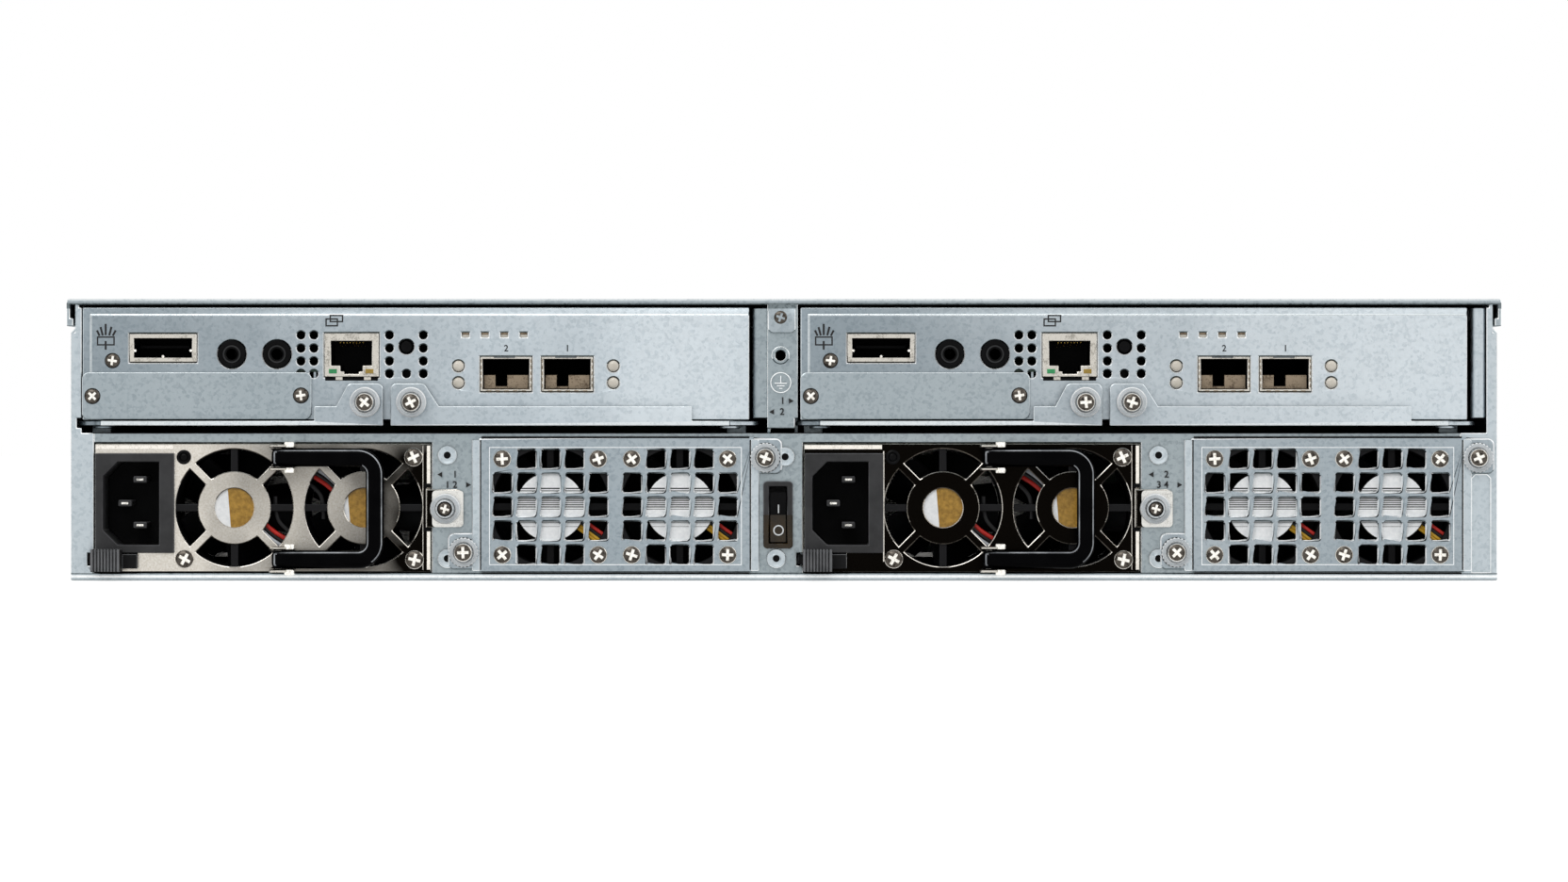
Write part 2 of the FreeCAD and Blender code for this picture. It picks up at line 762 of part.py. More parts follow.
def controller_board():
    """Circuit boards with the plastic bodies that stand on them."""
    board_top = sfp_foot
    board_foot = board_top - board_thick
    board_y = ctrl_panel_y + sheet + fit
    link_end = midplane_y - socket_depth - link_gap
    main = box(daughter_right, ctrl_width - board_margin, board_y, module_depth - board_margin, board_foot, board_top)
    daughter = box(0, daughter_right, board_y, daughter_depth, daughter_foot, daughter_foot + board_thick)
    solids = [main, daughter]
    barrel_front = field_y - fit
    body_foot = daughter_foot + board_thick
    for u in jack_columns:
        half = jack_body / 2
        body = box(u - half, u + half, board_y, jack_length, body_foot, body_foot + jack_body)
        barrel = rod_y(jack_barrel_r, u, jack_z, barrel_front, board_y)
        bore = rod_y(jack_bore_r, u, jack_z, barrel_front, barrel_front + jack_bore_depth)
        solids.append(cut(fused([body, barrel]), [bore]))
    tongue_z = sas_foot + sas_height / 2
    side = sas_wall + tongue_inset
    solids.append(box(sas_left + side, sas_left + sas_width - side, tongue_front, sas_depth - sas_wall,
                      tongue_z, tongue_z + board_thick / 2))
    solids.append(box(rj_left + thin_sheet, rj_left + rj_width - thin_sheet, board_y + thin_sheet, rj_depth,
                      board_top, rj_foot))
    switch_y = field_y - button_proud + button_length + button_travel + fit
    solids.append(box(button_x - button_collar_r, button_x + button_collar_r, switch_y, switch_y + switch_body,
                      board_top, button_z + button_collar_r))
    leg_y = pipe_leg_y
    for u in pipe_columns:
        leg = box(u - pipe_r, u + pipe_r, leg_y, leg_y + 2 * pipe_r, board_top, max(pipe_rows) + pipe_r)
        rods = [rod_y(pipe_r, u, w, field_y, leg_y + pipe_r) for w in pipe_rows]
        solids.append(fused([leg] + rods))
    solids.append(box(link_left, link_left + link_width, link_end - link_length, link_end,
                      board_top, board_top + link_height))
    return solids


def blank_plate():
    y0 = field_y - sheet
    plate = box(0, blank_width, y0, field_y, blank_foot, blank_foot + blank_height)
    return [rounded(plate, blank_round, AXIS_Y)]


def port_shells():
    front = field_y - port_proud
    sas = box(sas_left, sas_left + sas_width, front, sas_depth, sas_foot, sas_foot + sas_height)
    sas_mouth = box(sas_left + sas_wall, sas_left + sas_width - sas_wall, front, sas_depth - sas_wall,
                    sas_foot + sas_wall, sas_foot + sas_height - sas_wall)
    feet = box(sas_left + sas_wall, sas_left + sas_width - sas_wall, ctrl_panel_y + sheet + thin_sheet, sas_depth,
               daughter_foot + board_thick, sas_foot)
    rj = box(rj_left, rj_left + rj_width, front, rj_depth, rj_foot, rj_foot + rj_height)
    middle = rj_left + rj_width / 2
    mouths = []
    for half, low, high in rj_steps:
        mouths.append(box(middle - half, middle + half, front, rj_depth - rj_back, rj_foot + low, rj_foot + high))
    shells = [fused([cut(sas, [sas_mouth]), feet]), cut(rj, mouths)]
    for u in sfp_lefts:
        cage = box(u, u + sfp_width, front, sfp_depth, sfp_foot, sfp_foot + sfp_height)
        mouth = box(u + sfp_wall, u + sfp_width - sfp_wall, front, sfp_depth - sfp_wall,
                    sfp_foot + sfp_wall, sfp_foot + sfp_height - sfp_wall)
        shells.append(cut(cage, [mouth]))
    return shells


def button():
    front = field_y - button_proud
    collar_y = ctrl_panel_y + sheet + fit
    stem = rod_y(button_r, button_x, button_z, front, front + button_length)
    collar = rod_y(button_collar_r, button_x, button_z, collar_y, collar_y + sheet)
    return [fused([stem, collar])]


def thumbscrew(x, z, seat_y, grip, reach):
    """Captive screw: a turning ring seated on the sheet, its head, and the shank through the sheet."""
    ring = rod_y(thumb_ring_r, x, z, seat_y - thumb_ring, seat_y)
    head = rod_y(thumb_head_r, x, z, seat_y - thumb_ring - thumb_head, seat_y - thumb_ring)
    shank = rod_y(thumb_shank_r, x, z, seat_y, seat_y + grip + reach)
    return fused([ring, head, shank])


def lever(pivot_x, toe_x, arm_end, flange_points, screw_x):
    """Flat arm hinged under the panel, with an upright flange that a thumbscrew holds to the panel."""
    top = lever_foot + lever_sheet
    hub = rod_z(pivot_r + hub_wall, pivot_x, pivot_y, lever_foot, top)
    toe = rod_z(toe_r, toe_x, pivot_y, lever_foot, top)
    web = box(min(pivot_x, toe_x), max(pivot_x, toe_x), pivot_y - toe_r, pivot_y + toe_r, lever_foot, top)
    ends = sorted((pivot_x, arm_end))
    arm = box(ends[0], ends[1], flange_front, flange_front + arm_depth, lever_foot, top)
    inward = 1 if arm_end > pivot_x else -1
    neck_end = pivot_x + inward * neck_width
    neck = box(min(pivot_x, neck_end), max(pivot_x, neck_end), flange_front, pivot_y, lever_foot, top)
    flange = prism_y(flange_points, flange_front, flange_back)
    corner = flange_high - flange_round
    flange = rounded(flange, flange_round, AXIS_Y, lambda p: p.z > corner)
    body = fused([hub, toe, web, arm, neck, flange])
    holes = [
        rod_z(pivot_r + running_gap, pivot_x, pivot_y, lever_foot, top),
        rod_y(thumb_shank_r + lip_gap, screw_x, lever_screw_z, flange_front, flange_back),
    ]
    reach = field_y - flange_back + lever_screw_entry
    return [cut(body, holes), thumbscrew(screw_x, lever_screw_z, flange_front, lever_sheet, reach)]


def lever_left():
    start, ledge_end, rise_end, end = left_flange
    outline = [(start, lever_foot), (end, lever_foot), (end, flange_high), (rise_end, flange_high),
               (ledge_end, flange_low), (start, flange_low)]
    return lever(pivot_inset, toe_r - left_toe_reach, end, outline, lever_screw_left)


def lever_right():
    start, high_end, fall_end, end = right_flange
    outline = [(start, lever_foot), (end, lever_foot), (end, flange_low), (fall_end, flange_low),
               (high_end, flange_high), (start, flange_high)]
    toe_x = ctrl_width + right_toe_reach - toe_r
    return lever(ctrl_width - pivot_inset, toe_x, start, outline, lever_screw_right)


# ---------------- fans (drawn with the axis at x = 0, z = 0 and the motor side at y = 0) ----------------

def fan_frame():
    half = fan_size / 2
    block = box(-half, half, 0, fan_depth, -half, half)
    tunnel = rod_y(fan_bore_r, 0, 0, 0, fan_depth)
    motor = rod_y(motor_r, 0, 0, 0, motor_thick)
    reach = fan_bore_r + (half - fan_bore_r) / 2
    arms = [box(-reach, reach, 0, motor_thick, -strut_width / 2, strut_width / 2),
            box(-strut_width / 2, strut_width / 2, 0, motor_thick, -reach, reach)]
    socket = rod_y(shaft_r + running_gap, 0, 0, motor_skin, motor_thick)
    return cut(fused([cut(block, [tunnel]), motor] + arms), [socket])


def blade_section(radius, chord):
    along = (cos(radians(blade_angle)), sin(radians(blade_angle)))
    across = (-along[1], along[0])
    points = []
    for run, rise in ((-1, -1), (1, -1), (1, 1), (-1, 1)):
        around = run * chord / 2 * along[0] + rise * blade_thick / 2 * across[0]
        axial = run * chord / 2 * along[1] + rise * blade_thick / 2 * across[1]
        points.append(FreeCAD.Vector(radius, blade_middle + axial, around))
    return Part.makePolygon(points + [points[0]])


def rotor():
    """Hub cup with tapered, pitched blades, trimmed to the bore of the frame."""
    hub_front = motor_thick + rotor_gap
    hub_back = fan_depth - rotor_back_gap
    tip_r = fan_bore_r - blade_tip_gap
    root = blade_section(rotor_hub_r * blade_root_share, blade_root_chord)
    tip = blade_section(tip_r, blade_tip_chord)
    blade = Part.makeLoft([root, tip], True, True)
    trim = rod_y(tip_r, 0, 0, hub_front, hub_back)
    blade = blade.common(trim)
    hub = rod_y(rotor_hub_r, 0, 0, hub_front, hub_back)
    shaft = rod_y(shaft_r, 0, 0, motor_skin + lip_gap, hub_front)
    pieces = [hub, shaft]
    for n in range(blade_count):
        copy = blade.copy()
        copy.rotate(FreeCAD.Vector(0, 0, 0), AXIS_Y, 360 / blade_count * n)
        pieces.append(copy)
    return fused(pieces)


def at(shape, x, y, z):
    copy = shape.copy()
    copy.translate(FreeCAD.Vector(x, y, z))
    return copy


# ---------------- power supplies (drawn with the bay's lower left corner at x = 0, z = 0) ----------------

def fan_opening(x, z, y0, y1):
    ring = rod_y(opening_r, x, z, y0, y1).cut(rod_y(hub_disc_r, x, z, y0, y1))
    spokes = []
    for angle in (45, 135):
        spoke = box(x - opening_r, x + opening_r, y0, y1, z - spoke_width / 2, z + spoke_width / 2)
        spoke.rotate(FreeCAD.Vector(x, 0, z), AXIS_Y, angle)
        spokes.append(spoke)
    return [ring.cut(spokes), rod_y(hub_hole_r, x, z, y0, y1)]


def handle_lugs():
    """Two brackets, each with an ear above and below one end of the handle, and the pin through them."""
    y0 = handle_y - handle_thick / 2 - fit
    left = handle_pivot_x - lug_width / 2
    low_arm = (handle_foot, handle_foot + handle_strap)
    high_arm = (handle_top - handle_strap, handle_top)
    brackets = []
    for foot, top in (low_arm, high_arm):
        parts = []
        for z in (foot - fit - lug_sheet, top + fit):
            ear = box(left, left + lug_width, y0, psu_face_y, z, z + lug_sheet)
            parts.append(rounded(ear, lug_round, AXIS_Z, lambda p: p.y < y0 + lug_round))
        reach = fit + lug_sheet
        parts.append(rod_z(handle_pin_r, handle_pivot_x, handle_y, foot - reach, top + reach))
        brackets.append(fused(parts))
    return brackets


def latch_slot():
    """Height range of the slot that the latch's stem slides in."""
    return latch_stem_foot - latch_gap, latch_stem_foot + latch_stem_height + latch_gap


def psu_front():
    """Front sheet with its fan guards and screw tab, the handle's brackets and the captive screw."""
    low, high = fit, psu_height - fit
    left, right = fit, psu_width - fit
    back = psu_face_y + psu_wall
    tab_top = psu_tab_foot + psu_tab_height
    plate = box(left, right, psu_face_y, back, low, high)
    tab = box(psu_tab_left, psu_tab_left + psu_tab_width, -sheet, 0, psu_tab_foot, tab_top)
    tab = rounded(tab, tab_round, AXIS_Y, lambda p: p.x > right)
    web = box(psu_tab_left, right, -sheet, psu_face_y, psu_tab_foot, tab_top)
    body = fused([plate, tab, web])
    holes = []
    for x in psu_fan_columns:
        holes += fan_opening(x, psu_fan_z, psu_face_y, back)
    edge = inlet_lap
    holes.append(box(fit + edge, inlet_right - edge, psu_face_y, back,
                     inlet_foot + edge, inlet_foot + inlet_height - edge))
    holes.append(rod_y(psu_led_r, psu_led_x, psu_led_z, psu_face_y, back))
    stem_low, stem_high = latch_slot()
    stem_right = latch_stem_left + latch_stem_width + latch_travel + latch_gap
    holes.append(box(latch_stem_left - latch_gap, stem_right, psu_face_y, back, stem_low, stem_high))
    holes.append(rod_y(thumb_shank_r + lip_gap, psu_screw_x, psu_screw_z, -sheet, 0))
    screw = thumbscrew(psu_screw_x, psu_screw_z, -sheet, sheet, thumb_reach)
    return [cut(body, holes)] + handle_lugs() + [screw]


def psu_case():
    """Folded case behind the front sheet, with its board and the larger parts on it."""
    low, high = fit, psu_height - fit
    left, right = fit, psu_width - fit
    inner = psu_wall
    back = psu_face_y + psu_wall
    outer = box(left, right, back, module_depth, low, high)
    room = box(left + inner, right - inner, back, module_depth - inner, low + inner, high - inner)
    stem_low, stem_high = latch_slot()
    holes = [room, box(left, left + inner, back, back + fit + latch_plate + latch_gap, stem_low, stem_high)]
    vent_top = psu_vent_foot + psu_vent_height
    for n in range(psu_vent_count):
        x = psu_vent_left + n * psu_vent_pitch
        holes.append(box(x, x + psu_vent_width, module_depth - inner, module_depth, psu_vent_foot, vent_top))
    case = cut(outer, holes)
    board_foot = low + inner + psu_board_lift
    board_top = board_foot + board_thick
    board = box(left + inner, right - inner, psu_board_start, module_depth - inner - link_gap, board_foot, board_top)
    feet = []
    for share in psu_foot_shares:
        u = psu_width * share
        for y in (psu_board_start + psu_foot_front, module_depth - psu_foot_back):
            feet.append(box(u, u + post_size, y, y + post_size, low + inner, board_foot))
    start = psu_board_start + psu_block_start
    parts = [box(u, u + wide, start, start + deep, board_top, board_top + tall) for u, wide, deep, tall in psu_blocks]
    link_end = midplane_y - socket_depth - link_gap
    link = box(psu_link_left, psu_link_left + psu_link_width, module_depth, link_end,
               psu_link_foot, psu_link_foot + psu_link_height)
    return [case, board, link] + feet + parts


def psu_inlet():
    edge = inlet_lap + port_gap
    z0, z1 = inlet_foot, inlet_foot + inlet_height
    front = psu_face_y - inlet_proud
    flange = box(2 * fit, inlet_right, front, psu_face_y, z0, z1)
    body = box(fit + edge, inlet_right - edge, psu_face_y, inlet_depth, z0 + edge, z1 - edge)
    x0, x1 = inlet_cavity_left, inlet_cavity_left + inlet_cavity_width
    c0, c1 = inlet_cavity_foot, inlet_cavity_foot + inlet_cavity_height
    cut_corner = inlet_chamfer
    outline = [(x1, c0), (x1, c1), (x0 + cut_corner, c1), (x0, c1 - cut_corner),
               (x0, c0 + cut_corner), (x0 + cut_corner, c0)]
    back = front + inlet_cavity_depth
    housing = cut(fused([flange, body]), [prism_y(outline, front, back)])
    solids = [housing]
    for x, z in pin_points:
        solids.append(box(x - pin_width / 2, x + pin_width / 2, back - pin_length, back,
                          z - pin_thick / 2, z + pin_thick / 2))
    return solids


def psu_handle():
    half = handle_thick / 2
    y0, y1 = handle_y - half, handle_y + half
    left = handle_pivot_x - half
    outer = box(left - handle_round, handle_right, y0, y1, handle_foot, handle_top)
    outer = rounded(outer, handle_round, AXIS_Y)
    strap = handle_strap
    inner = box(left - 2 * handle_round, handle_right - strap, y0, y1, handle_foot + strap, handle_top - strap)
    inner = rounded(inner, handle_round - strap, AXIS_Y)
    band = outer.cut(inner)
    band = band.cut(box(left - handle_round, handle_pivot_x, y0, y1, handle_foot, handle_top))
    bows = []
    for foot in (handle_foot, handle_top - strap):
        bows.append(rod_z(half, handle_pivot_x, handle_y, foot, foot + strap))
    pin_hole = rod_z(handle_pin_r + running_gap, handle_pivot_x, handle_y, handle_foot, handle_top)
    return [cut(fused([band] + bows), [pin_hole])]


def psu_latch():
    back = psu_face_y - fit
    neck_y = -latch_neck
    top = latch_foot + latch_height
    knob = box(lip_gap, lip_gap + latch_width, -latch_proud, neck_y, latch_foot, top)
    pitch = latch_width / latch_ribs
    grooves = []
    for n in range(1, latch_ribs):
        x = lip_gap + n * pitch
        grooves.append(box(x - pitch / 4, x + pitch / 4, -latch_proud, neck_y, top - latch_rib_depth, top))
        grooves.append(box(x - pitch / 4, x + pitch / 4, -latch_proud, -latch_proud + latch_rib_depth,
                           latch_foot, top))
    knob = knob.cut(grooves)
    low, high = latch_stem_foot, latch_stem_foot + latch_stem_height
    neck = box(latch_neck_left, latch_stem_right, neck_y, back, latch_neck_foot, high)
    stem = box(latch_stem_left, latch_stem_left + latch_stem_width, back, psu_face_y + psu_wall + fit, low, high)
    plate_y = psu_face_y + psu_wall + fit
    plate = box(-latch_tongue, latch_stem_left + latch_stem_width, plate_y, plate_y + latch_plate, low, high)
    return [fused([knob, neck, stem, plate])]


def psu_fan_frames():
    y = psu_face_y + psu_wall
    return [at(fan_frame(), x, y, psu_fan_z) for x in psu_fan_columns]


# ---------------- fan trays (drawn with the panel's lower left corner at x = 0, z = 0) ----------------

def grille_cells(x, z, y0, y1):
    cells = []
    middle = (grille_count - 1) / 2
    half = grille_hole / 2
    for i in range(grille_count):
        for j in range(grille_count):
            if i in (0, grille_count - 1) and j in (0, grille_count - 1):
                continue
            u, w = x + (i - middle) * grille_pitch, z + (j - middle) * grille_pitch
            cells.append(box(u - half, u + half, y0, y1, w - half, w + half))
    return cells


def fan_panel():
    """Front sheet with two square-holed grilles, and the screw tabs that meet its two ends."""
    left_side, right_side = -tray_lap, tray_width + tray_lap
    left_end, left_foot, left_tall = left_tab
    right_end, right_foot, right_tall = right_tab
    panel = box(left_side, right_side, -sheet, 0, tray_foot, tray_height)
    tabs = [
        rounded(box(left_end, left_side, -sheet, 0, left_foot, left_foot + left_tall), tray_tab_round, AXIS_Y,
                lambda p: p.x < left_end + tray_tab_round),
        rounded(box(right_side, right_end, -sheet, 0, right_foot, right_foot + right_tall), tray_tab_round,
                AXIS_Y, lambda p: p.x > right_end - tray_tab_round),
    ]
    cells = []
    for x in tray_fan_columns:
        cells += grille_cells(x, tray_fan_z, -sheet, 0)
    holes = [rod_y(thumb_shank_r + lip_gap, u, w, -sheet, 0) for u, w in (left_tab_screw, right_tab_screw)]
    return [cut(panel, cells)] + [cut(tab, [hole]) for tab, hole in zip(tabs, holes)]


def fan_shelf():
    """Floor and two sides that hold the fans behind the front sheet."""
    floor_top = tray_fan_z - fan_size / 2
    side_top = tray_fan_z + fan_size / 4
    floor = box(fit, tray_width - fit, 0, tray_depth, tray_floor_foot, floor_top)
    sides = [box(u, u + thin_sheet, 0, tray_depth, tray_floor_foot, side_top)
             for u in (fit, tray_width - fit - thin_sheet)]
    return fused([floor] + sides)


def fan_tray():
    return fan_panel() + [fan_shelf()] + tray_screws()


def tray_fan_frames():
    return [at(fan_frame(), x, 0, tray_fan_z) for x in tray_fan_columns]


def tray_screws():
    return [thumbscrew(u, w, -sheet, sheet, thumb_reach) for u, w in (left_tab_screw, right_tab_screw)]


# ---------------- midplane, drive cage and drives ----------------

def drive_spots():
    """Left edge and foot of each drive carrier, row by row from the floor."""
    clear = column_pitch - thin_sheet
    width = clear - 2 * carrier_gap
    first = -column_pitch * drive_columns / 2 + thin_sheet / 2 + carrier_gap
    spots = []
    for row in range(drive_rows):
        for column in range(drive_columns):
            spots.append((first + column * column_pitch, row_foot + row * row_pitch, width))
    return spots


def midplane():
    y0, y1 = midplane_y, midplane_y + midplane_thick
    half = joggle_outer - sheet - fit
    board = box(-half, half, y0, y1, sheet, cover_under - midplane_margin)
    windows = []
    for x, z, width in drive_spots():
        if z > row_foot:
            windows.append(box(x + window_inset, x + width - window_inset, y0, y1,
                               z - air_window / 2, z + air_window / 2))
    solids = [cut(board, windows)]
    for x, z, width in drive_spots():
        left = x + (width - drive_link_width) / 2
        foot = z + disk_lift + drive_link_foot
        solids.append(box(left, left + drive_link_width, y1, y1 + drive_link_depth, foot, foot + drive_link_height))
    for x in ctrl_bays():
        left = x + link_left
        foot = ctrl_z + sfp_foot
        solids.append(box(left, left + link_width, y0 - socket_depth, y0, foot, foot + link_height))
    for x in psu_bays():
        left = x + psu_link_left
        foot = psu_z + psu_link_foot
        solids.append(box(left, left + psu_link_width, y0 - socket_depth, y0, foot, foot + psu_link_height))
    return solids


def drive_cage():
    y0 = midplane_y + midplane_thick
    y1 = body_depth - ear_plate
    top = cover_under - lip_gap
    half_span = column_pitch * drive_columns / 2
    solids = []
    for n in range(drive_columns + 1):
        x = -half_span + n * column_pitch
        pieces = [box(x - thin_sheet / 2, x + thin_sheet / 2, y0, y1, sheet, top)]
        inner_half = thin_sheet / 2 + ledge_width
        left = x - (inner_half if n > 0 else thin_sheet / 2)
        right = x + (inner_half if n < drive_columns else thin_sheet / 2)
        for row in range(drive_rows):
            ledge_top = row_foot + row * row_pitch - fit
            ledge_foot = max(sheet, ledge_top - ledge_thick)
            pieces.append(box(left, right, carrier_start(), y1, ledge_foot, ledge_top))
        solids.append(fused(pieces))
    roof_half = joggle_outer - fit
    roof = box(-roof_half, roof_half, cover_depth + fit, y1, top, body_height)
    return solids + [roof]


def carrier_start():
    return body_depth + drive_proud - carrier_depth


def drive(width):
    """Disk in a carrier with a moulded grip, drawn with its lower left corner at x = 0, z = 0."""
    front = body_depth + drive_proud
    back = carrier_start()
    bezel_y = front - bezel_depth
    rail = (width - disk_width) / 2
    rails = [box(x, x + rail, back, bezel_y, 0, side_rail_height) for x in (0, width - rail)]
    bezel = box(0, width, bezel_y, front, 0, carrier_height)
    bezel = rounded(bezel, bezel_round, AXIS_X, lambda p: p.y > front - bezel_round)
    slots = []
    span = (width - 2 * slot_margin) / bezel_slots
    for n in range(bezel_slots):
        left = slot_margin + n * span + slot_rib / 2
        slots.append(box(left, left + span - slot_rib, bezel_y, front, slot_foot, slot_foot + bezel_slot_height))
    slots.append(box(slot_margin, width - slot_margin, front - grip_recess, front,
                     carrier_height - grip_height - slot_foot / 2, carrier_height - slot_foot / 2))
    carrier = cut(fused([bezel] + rails), slots)
    grip_foot = carrier_height - grip_height - slot_foot / 2 + grip_gap
    grip = box(slot_margin + grip_gap, width - slot_margin - grip_gap, front - grip_recess, front,
               grip_foot, grip_foot + grip_height - 2 * grip_gap)
    grip = rounded(grip, grip_round, AXIS_X, lambda p: p.y > front - grip_round)
    disk_y = midplane_y + midplane_thick + drive_link_depth + link_gap
    left = rail
    disk = box(left, left + disk_width, disk_y, bezel_y - disk_front_gap, disk_lift, disk_lift + disk_height)
    return [carrier, grip, disk]


def build():
    os.makedirs("parts", exist_ok=True)
    save("chassis_tray", chassis_tray())
    save("top_cover", top_cover())
    save("rear_frame", rear_frame())
    save("midplane", midplane())
    save("drive_cage", drive_cage())
    save("rack_ears", rack_ears())
    save("power_switch", power_switch())
    save("power_rocker", power_rocker())
    controller_nodes = {
        "panel": controller_panel(),
        "tray": controller_tray(),
        "board": controller_board(),
        "blank_plate": blank_plate(),
        "port_shells": port_shells(),
        "button": button(),
        "lever_left": lever_left(),
        "lever_right": lever_right(),
    }
    spinner = rotor()
    psu_nodes = {
        "front": psu_front(),
        "case": psu_case(),
        "inlet": psu_inlet(),
        "handle": psu_handle(),
        "latch": psu_latch(),
        "fan_frames": psu_fan_frames(),
    }
    tray_nodes = {
        "tray": fan_tray(),
        "fan_frames": tray_fan_frames(),
    }
    for letter, x in zip("ab", psu_fan_columns):
        psu_nodes["rotor_" + letter] = [at(spinner, x, psu_face_y + psu_wall, psu_fan_z)]
    for letter, x in zip("ab", tray_fan_columns):
        tray_nodes["rotor_" + letter] = [at(spinner, x, 0, tray_fan_z)]
    for number, x in enumerate(ctrl_bays(), 1):
        for name, solids in controller_nodes.items():
            save("ctrl%d_%s" % (number, name), [moved(s, x, ctrl_z) for s in solids])
    for number, x in enumerate(psu_bays(), 1):
        for name, solids in psu_nodes.items():
            save("psu%d_%s" % (number, name), [moved(s, x, psu_z) for s in solids])
    for number, x in enumerate(tray_bays(), 1):
        for name, solids in tray_nodes.items():
            save("fan%d_%s" % (number, name), [moved(s, x, tray_z) for s in solids])
    for number, (x, z, width) in enumerate(drive_spots(), 1):
        save("drive_%02d" % number, [moved(s, x, z) for s in drive(width)])


build()
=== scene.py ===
import json
import math

import bmesh
import bpy
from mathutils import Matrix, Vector

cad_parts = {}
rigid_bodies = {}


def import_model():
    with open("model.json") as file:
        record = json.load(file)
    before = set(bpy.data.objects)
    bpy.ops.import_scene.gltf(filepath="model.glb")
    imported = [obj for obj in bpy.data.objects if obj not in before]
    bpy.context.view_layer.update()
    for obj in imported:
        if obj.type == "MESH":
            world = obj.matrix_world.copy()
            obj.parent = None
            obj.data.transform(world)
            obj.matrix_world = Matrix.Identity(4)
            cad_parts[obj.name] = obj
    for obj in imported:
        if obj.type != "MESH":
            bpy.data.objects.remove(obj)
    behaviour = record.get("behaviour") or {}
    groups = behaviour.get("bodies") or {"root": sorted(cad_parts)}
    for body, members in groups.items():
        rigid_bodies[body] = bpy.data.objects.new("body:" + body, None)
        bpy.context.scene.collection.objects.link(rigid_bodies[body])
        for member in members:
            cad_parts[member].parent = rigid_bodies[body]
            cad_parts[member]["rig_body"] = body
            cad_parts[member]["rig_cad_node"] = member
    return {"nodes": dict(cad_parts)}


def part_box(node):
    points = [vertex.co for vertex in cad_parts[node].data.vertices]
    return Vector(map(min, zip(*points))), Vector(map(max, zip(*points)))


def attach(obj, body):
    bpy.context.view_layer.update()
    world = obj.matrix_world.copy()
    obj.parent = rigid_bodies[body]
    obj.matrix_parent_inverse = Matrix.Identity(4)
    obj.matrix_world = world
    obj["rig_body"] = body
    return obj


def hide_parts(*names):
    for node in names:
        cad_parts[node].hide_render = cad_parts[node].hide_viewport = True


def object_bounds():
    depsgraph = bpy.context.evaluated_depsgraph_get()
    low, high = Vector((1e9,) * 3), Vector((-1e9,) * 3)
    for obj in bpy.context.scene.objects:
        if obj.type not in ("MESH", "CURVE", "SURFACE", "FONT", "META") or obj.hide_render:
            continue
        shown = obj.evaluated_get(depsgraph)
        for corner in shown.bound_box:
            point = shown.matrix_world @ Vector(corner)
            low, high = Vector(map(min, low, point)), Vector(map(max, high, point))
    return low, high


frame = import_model()
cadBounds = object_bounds()
nodes = frame["nodes"]
mm = 0.001
print("frame loaded,", len(nodes), "nodes")


# helpers for materials

def linear(hexCode):
    # sRGB hex to the linear colour that Blender works in
    parts = [int(hexCode[i:i + 2], 16) / 255 for i in (1, 3, 5)]
    return [p / 12.92 if p <= 0.04045 else ((p + 0.055) / 1.055) ** 2.4 for p in parts] + [1]


def perUnit(sizeMm):
    # pattern scale for a feature of this many millimetres
    return 1 / (sizeMm * mm)


def addNode(tree, kind, sockets=None, **settings):
    node = tree.nodes.new(kind)
    for key, value in settings.items():
        setattr(node, key, value)
    for key, value in (sockets or {}).items():
        if isinstance(value, bpy.types.NodeSocket):
            tree.links.new(value, node.inputs[key])
        else:
            node.inputs[key].default_value = value
    return node


def startMaterial(name, sockets):
    # one Principled shader with its own constants, and the object's own coordinates
    material = bpy.data.materials.new(name)
    material.use_nodes = True
    tree = material.node_tree
    tree.nodes.clear()
    shader = addNode(tree, "ShaderNodeBsdfPrincipled", sockets)
    addNode(tree, "ShaderNodeOutputMaterial", {"Surface": shader.outputs["BSDF"]})
    place = addNode(tree, "ShaderNodeTexCoord").outputs["Object"]
    return material, tree, shader, place


def stretched(tree, place, x, y, z):
    return addNode(tree, "ShaderNodeMapping", {"Vector": place, "Scale": (x, y, z)}).outputs["Vector"]


def ramp(tree, factor, low, high, start=0.35, end=0.65):
    # two colours across the middle of a pattern's range
    node = addNode(tree, "ShaderNodeValToRGB", {"Fac": factor})
    node.color_ramp.elements[0].position = start
    node.color_ramp.elements[1].position = end
    node.color_ramp.elements[0].color = linear(low)
    node.color_ramp.elements[1].color = linear(high)
    return node.outputs["Color"]


def spread(tree, factor, low, high, start=0.3, end=0.7):
    return addNode(tree, "ShaderNodeMapRange", {
        "Value": factor, "From Min": start, "From Max": end, "To Min": low, "To Max": high,
    }).outputs["Result"]


def grain(tree, place, sizeMm, detail=3, rough=0.6):
    return addNode(tree, "ShaderNodeTexNoise", {
        "Vector": place, "Scale": perUnit(sizeMm), "Detail": detail, "Roughness": rough,
    }).outputs["Fac"]


def bump(tree, height, strength, depthMm):
    return addNode(tree, "ShaderNodeBump", {
        "Height": height, "Strength": strength, "Distance": depthMm * mm,
    }).outputs["Normal"]


def lengthwise(tree, place, first, last, fromMm, toMm):
    # a colour that changes along the sheet's length, with a slow waver in the change
    along = addNode(tree, "ShaderNodeSeparateXYZ", {"Vector": place}).outputs["X"]
    waver = spread(tree, grain(tree, place, 26, 2), -18 * mm, 18 * mm, 0.3, 0.7)
    shifted = addNode(tree, "ShaderNodeMath", {0: along, 1: waver}, operation="ADD").outputs["Value"]
    return ramp(tree, spread(tree, shifted, 0, 1, fromMm * mm, toMm * mm), first, last, 0, 1)


def multiplied(tree, first, second):
    return addNode(tree, "ShaderNodeMix", {"Factor": 1.0, "A": first, "B": second},
                   data_type="RGBA", blend_type="MULTIPLY").outputs[2]


